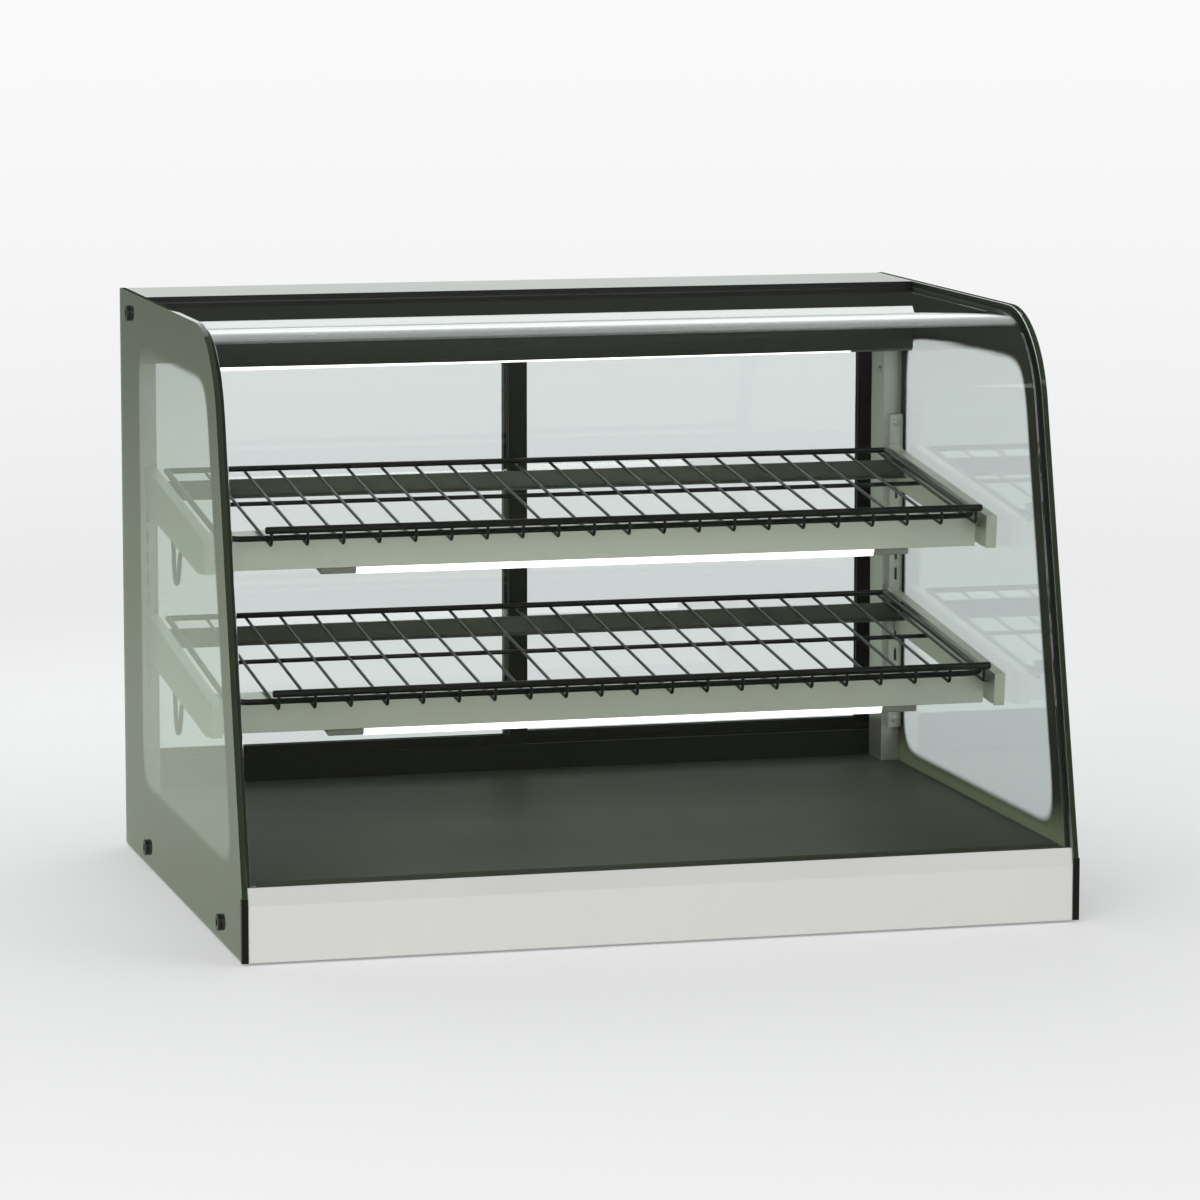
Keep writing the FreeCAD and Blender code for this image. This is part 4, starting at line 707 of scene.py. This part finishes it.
# Cross-recessed screws
SCREW_RADIUS = 0.0036
SCREW_HEIGHT = 0.0022
RECESS_REACH = 0.0022
RECESS_HALF = 0.0005
RECESS_FLOOR, RECESS_TOP = 0.0011, 0.004
SCREW_TURN = 37
FACING = {
    "front": Matrix.Rotation(math.pi / 2, 4, "X"),
    "rear": Matrix.Rotation(-math.pi / 2, 4, "X"),
    "left": Matrix.Rotation(-math.pi / 2, 4, "Y"),
    "right": Matrix.Rotation(math.pi / 2, 4, "Y"),
}


def cut_recess(head, wide, deep):
    arm = start_block("recess_arm", (-wide, -deep, RECESS_FLOOR), (wide, deep, RECESS_TOP))
    work_on(head)
    recess = head.modifiers.new("recess", "BOOLEAN")
    recess.object = arm
    recess.operation = "DIFFERENCE"
    bpy.ops.object.modifier_apply(modifier="recess")
    bpy.data.objects.remove(arm)


def screw_model():
    """A pan head that points along +Z, with its seat at the origin."""
    head = start_rod("screw_model", 24, SCREW_RADIUS, SCREW_HEIGHT, (0, 0, SCREW_HEIGHT / 2))
    pick(head, "FACE", lambda at: at.z > SCREW_HEIGHT - 0.0001)
    bpy.ops.mesh.bevel(offset=SCREW_HEIGHT / 2, segments=4, profile=0.5, affect="EDGES")
    bpy.ops.object.mode_set(mode="OBJECT")
    cut_recess(head, RECESS_REACH, RECESS_HALF)
    cut_recess(head, RECESS_HALF, RECESS_REACH)
    return close_piece(head, 35)


def screw_rows():
    """The place and facing of each screw: standards, posts, header and base fascia."""
    rows = []
    for side, inwards in ((-1, "right"), (1, "left")):
        rows += [((side * 0.442, STANDARD_FACE, z), "front") for z in (0.128, 0.479)]
        rows += [((side * 0.4285, 0.2725, z), inwards) for z in (0.135, 0.545)]
    rows += [((x, 0.3535, 0.625), "rear") for x in (-0.40, -0.135, 0.135, 0.40)]
    rows += [((x, 0.3505, 0.064), "rear") for x in (-0.42, -0.21, 0.0, 0.21, 0.42)]
    return rows


def screws():
    model = screw_model()
    for number, (place, facing) in enumerate(screw_rows()):
        spin = Matrix.Rotation(math.radians(SCREW_TURN * number), 4, "Z")
        twin = copy_to(model, f"screw_{number:02d}", Matrix.Translation(place) @ FACING[facing] @ spin)
        finished(twin, "cabinet", "satin_aluminium" if facing != "rear" else "bolt_black")
    bpy.data.objects.remove(model)


# Crisp folded and ground edges on the CAD pieces, by their width
EDGE_WIDTH = {
    0.0003: (
        "shelf_standard_left", "shelf_standard_right", "corner_trims", "upper_stretcher", "lower_stretcher",
        "switch_rocker", "upper_lens", "lower_lens", "front_glass_rail", "deck_panel",
    ),
    0.0004: (
        "upper_bracket_left", "upper_bracket_right", "lower_bracket_left", "lower_bracket_right", "base_pan",
        "door_pull_left", "door_pull_right", "glass_pivot_blocks",
    ),
    0.0005: (
        "upper_light_bar", "lower_light_bar", "switch_bezel", "door_jambs", "door_sill", "door_head_track",
        "light_housing",
    ),
    0.0006: ("header_cover", "rear_post_left", "rear_post_right", "end_glass_bolts"),
    0.0008: (
        "front_apron", "end_glass_left", "end_glass_right", "front_glass", "door_frame_left",
        "door_frame_right", "top_lens",
    ),
    0.001: ("lead_sockets",),
    0.0012: ("upper_lamp_holders", "lower_lamp_holders"),
}
EDGE_ANGLE = 35
BEND_ANGLE = {"front_apron": 10}


def soften_edges(name, width):
    piece = nodes[name]
    weld = piece.modifiers.new("weld", "WELD")
    weld.merge_threshold = 0.000005
    edge = piece.modifiers.new("edge", "BEVEL")
    edge.width = width
    edge.segments = 2
    edge.limit_method = "ANGLE"
    edge.angle_limit = math.radians(BEND_ANGLE.get(name, EDGE_ANGLE))
    even = piece.modifiers.new("even_shading", "WEIGHTED_NORMAL")
    even.weight = 100


border = border_finish()
for hand in FILM_SIDES:
    printed_border(hand, border)
for shelf in SHELVES:
    lamp_lead(shelf)
    wire_shelf(shelf)
screws()
for width, names in EDGE_WIDTH.items():
    for name in names:
        soften_edges(name, width)


# Studio
WHITE = (0.97, 0.97, 0.97, 1)
ROOM_TONE = (0.88, 1.0, 0.77, 1)
FLOOR_PALE = (0.92, 0.92, 0.92, 1)
FLOOR_SIZE = 400
SHADOW_REACH = 0.6
WHITE_REACH = 1.3
WHITE_NEAR, WHITE_GAIN = 0.32, 0.68
MIRROR_SHARE = 0.8
DUSK_REACH = 5.0
ROOM_GLOW, NEAR_GLOW = 0.26, 0.30
FILL_TONE, FILL_STRENGTH = (0.98, 0.99, 1.0, 1), 0.42
ROOM_BELOW = (0.47, 0.52, 0.42, 1)
ROOM_ABOVE = (0.10, 0.105, 0.11, 1)
ROOM_WALL = (0.94, 1.04, 0.84)
WALL_LEVELS = ((0.505, 0.5), (0.53, 0.035), (0.75, 0.035))


def ray_kinds(tree):
    """Two masks: rays that look straight at a surface or through glass at it, and rays that mirror it."""
    rays = add(tree, "ShaderNodeLightPath").outputs
    matt = maths(tree, "MINIMUM", rays["Diffuse Depth"], 1.0)
    bounced = maths(tree, "MINIMUM", maths(tree, "ADD", matt, rays["Glossy Depth"]), 1.0)
    straight = maths(tree, "MAXIMUM", rays["Is Camera Ray"], rays["Is Transmission Ray"])
    looked_at = maths(tree, "MULTIPLY", straight, maths(tree, "SUBTRACT", 1.0, bounced))
    shiny = maths(tree, "MAXIMUM", rays["Is Glossy Ray"], rays["Glossy Depth"])
    shiny = maths(tree, "SUBTRACT", maths(tree, "MINIMUM", shiny, 1.0), matt)
    mirrored = maths(tree, "MAXIMUM", maths(tree, "SUBTRACT", shiny, looked_at), 0.0)
    return looked_at, mirrored


def studio_floor():
    """Pale near the case, where it takes the shadow, and plain white further off."""
    start_piece()
    bpy.ops.mesh.primitive_plane_add(size=FLOOR_SIZE, location=(0, 0, 0))
    floor = bpy.context.object
    floor.name = "studio_floor"
    material, tree, shader = new_material("studio_floor_pale")
    constants(shader, Base_Color=FLOOR_PALE, Roughness=0.7, Specular_IOR_Level=0.2)
    looked_at, mirrored = ray_kinds(tree)
    span = add(tree, "ShaderNodeVectorMath", operation="LENGTH")
    feed(tree, object_place(tree), span.inputs[0])
    away = span.outputs["Value"]

    beyond = maths(tree, "MAXIMUM", maths(tree, "SUBTRACT", away, SHADOW_REACH), 0.0)
    far = maths(tree, "DIVIDE", beyond, maths(tree, "ADD", beyond, WHITE_REACH))
    paled = maths(tree, "MULTIPLY", maths(tree, "MULTIPLY_ADD", far, WHITE_GAIN, WHITE_NEAR), looked_at)
    white = add(tree, "ShaderNodeEmission")
    white.inputs["Color"].default_value = WHITE
    seen = blend(tree, paled, shader.outputs[0], white.outputs[0])

    # In reflections the floor takes the tone of a dim room, brighter near the case
    fourth = maths(tree, "POWER", maths(tree, "MULTIPLY", away, 1 / DUSK_REACH), 4.0)
    dusk = maths(tree, "DIVIDE", 1.0, maths(tree, "ADD", fourth, 1.0))
    room = add(tree, "ShaderNodeEmission")
    room.inputs["Color"].default_value = ROOM_TONE
    feed(tree, maths(tree, "MULTIPLY_ADD", dusk, NEAR_GLOW, ROOM_GLOW), room.inputs["Strength"])
    share = maths(tree, "MULTIPLY", mirrored, MIRROR_SHARE)
    whole = blend(tree, share, seen, room.outputs[0])
    feed(tree, whole, tree.nodes["Material Output"].inputs["Surface"])
    floor.data.materials.append(material)


def studio_world():
    """Even fill for matt surfaces, white where it is looked at, and a dim room in reflections."""
    world = bpy.data.worlds.new("studio_world")
    scene.world = world
    world.use_nodes = True
    tree = world.node_tree
    fill = tree.nodes["Background"]
    fill.inputs["Color"].default_value = FILL_TONE
    fill.inputs["Strength"].default_value = FILL_STRENGTH
    shown = add(tree, "ShaderNodeBackground")
    shown.inputs["Color"].default_value = WHITE

    # The room from below, over a pale horizon and dark walls, to the ceiling
    room = add(tree, "ShaderNodeBackground")
    x, y, z = parts_of(tree, add(tree, "ShaderNodeTexCoord").outputs["Generated"])
    ramp = add(tree, "ShaderNodeValToRGB")
    steps = ramp.color_ramp.elements
    steps[0].position, steps[0].color = 0.0, ROOM_BELOW
    steps[1].position, steps[1].color = 1.0, ROOM_ABOVE
    for place, level in WALL_LEVELS:
        step = steps.new(place)
        step.color = (*(level * tone for tone in ROOM_WALL), 1)
    feed(tree, maths(tree, "MULTIPLY_ADD", z, 0.5, 0.5), ramp.inputs[0])
    feed(tree, ramp.outputs[0], room.inputs["Color"])

    looked_at, mirrored = ray_kinds(tree)
    lighting = blend(tree, mirrored, fill.outputs[0], room.outputs[0])
    whole = blend(tree, looked_at, lighting, shown.outputs[0])
    feed(tree, whole, tree.nodes["World Output"].inputs["Surface"])


def face(thing, place, target):
    """A lamp or camera at a place, turned to a target."""
    scene.collection.objects.link(thing)
    thing.location = place
    thing.rotation_euler = (Vector(target) - thing.location).to_track_quat("-Z", "Y").to_euler()


def soft_lamp(name, place, target, size, watts, tint=(1, 1, 1)):
    light = bpy.data.lights.new(name, "AREA")
    light.shape = "RECTANGLE"
    light.size, light.size_y = size
    light.energy = watts
    light.color = tint
    face(bpy.data.objects.new(name, light), place, target)


studio_floor()
studio_world()
soft_lamp("key_softbox", (-2.3, -3.6, 2.1), (0, 0, 0.3), size=(3.0, 2.4), watts=82)
soft_lamp(
    "rear_softbox", (-0.09, 1.334, 1.376), (-0.09, 0.334, 0.376), size=(2.18, 1.6), watts=12,
    tint=(0.95, 1.0, 0.98),
)
soft_lamp("fill_softbox", (3.2, -2.4, 1.9), (0, 0, 0.3), size=(3.4, 2.8), watts=40)

# Camera where the photograph was taken from
camera_data = bpy.data.cameras.new("case_camera")
camera_data.sensor_width = 36
camera_data.lens = 160
camera_data.clip_end = 100
camera = bpy.data.objects.new("case_camera", camera_data)
face(camera, (-1.474, -5.6785, 1.135), (0.018, 0.0, 0.318))
scene.camera = camera
scene.view_settings.view_transform = "Standard"

bpy.context.view_layer.update()
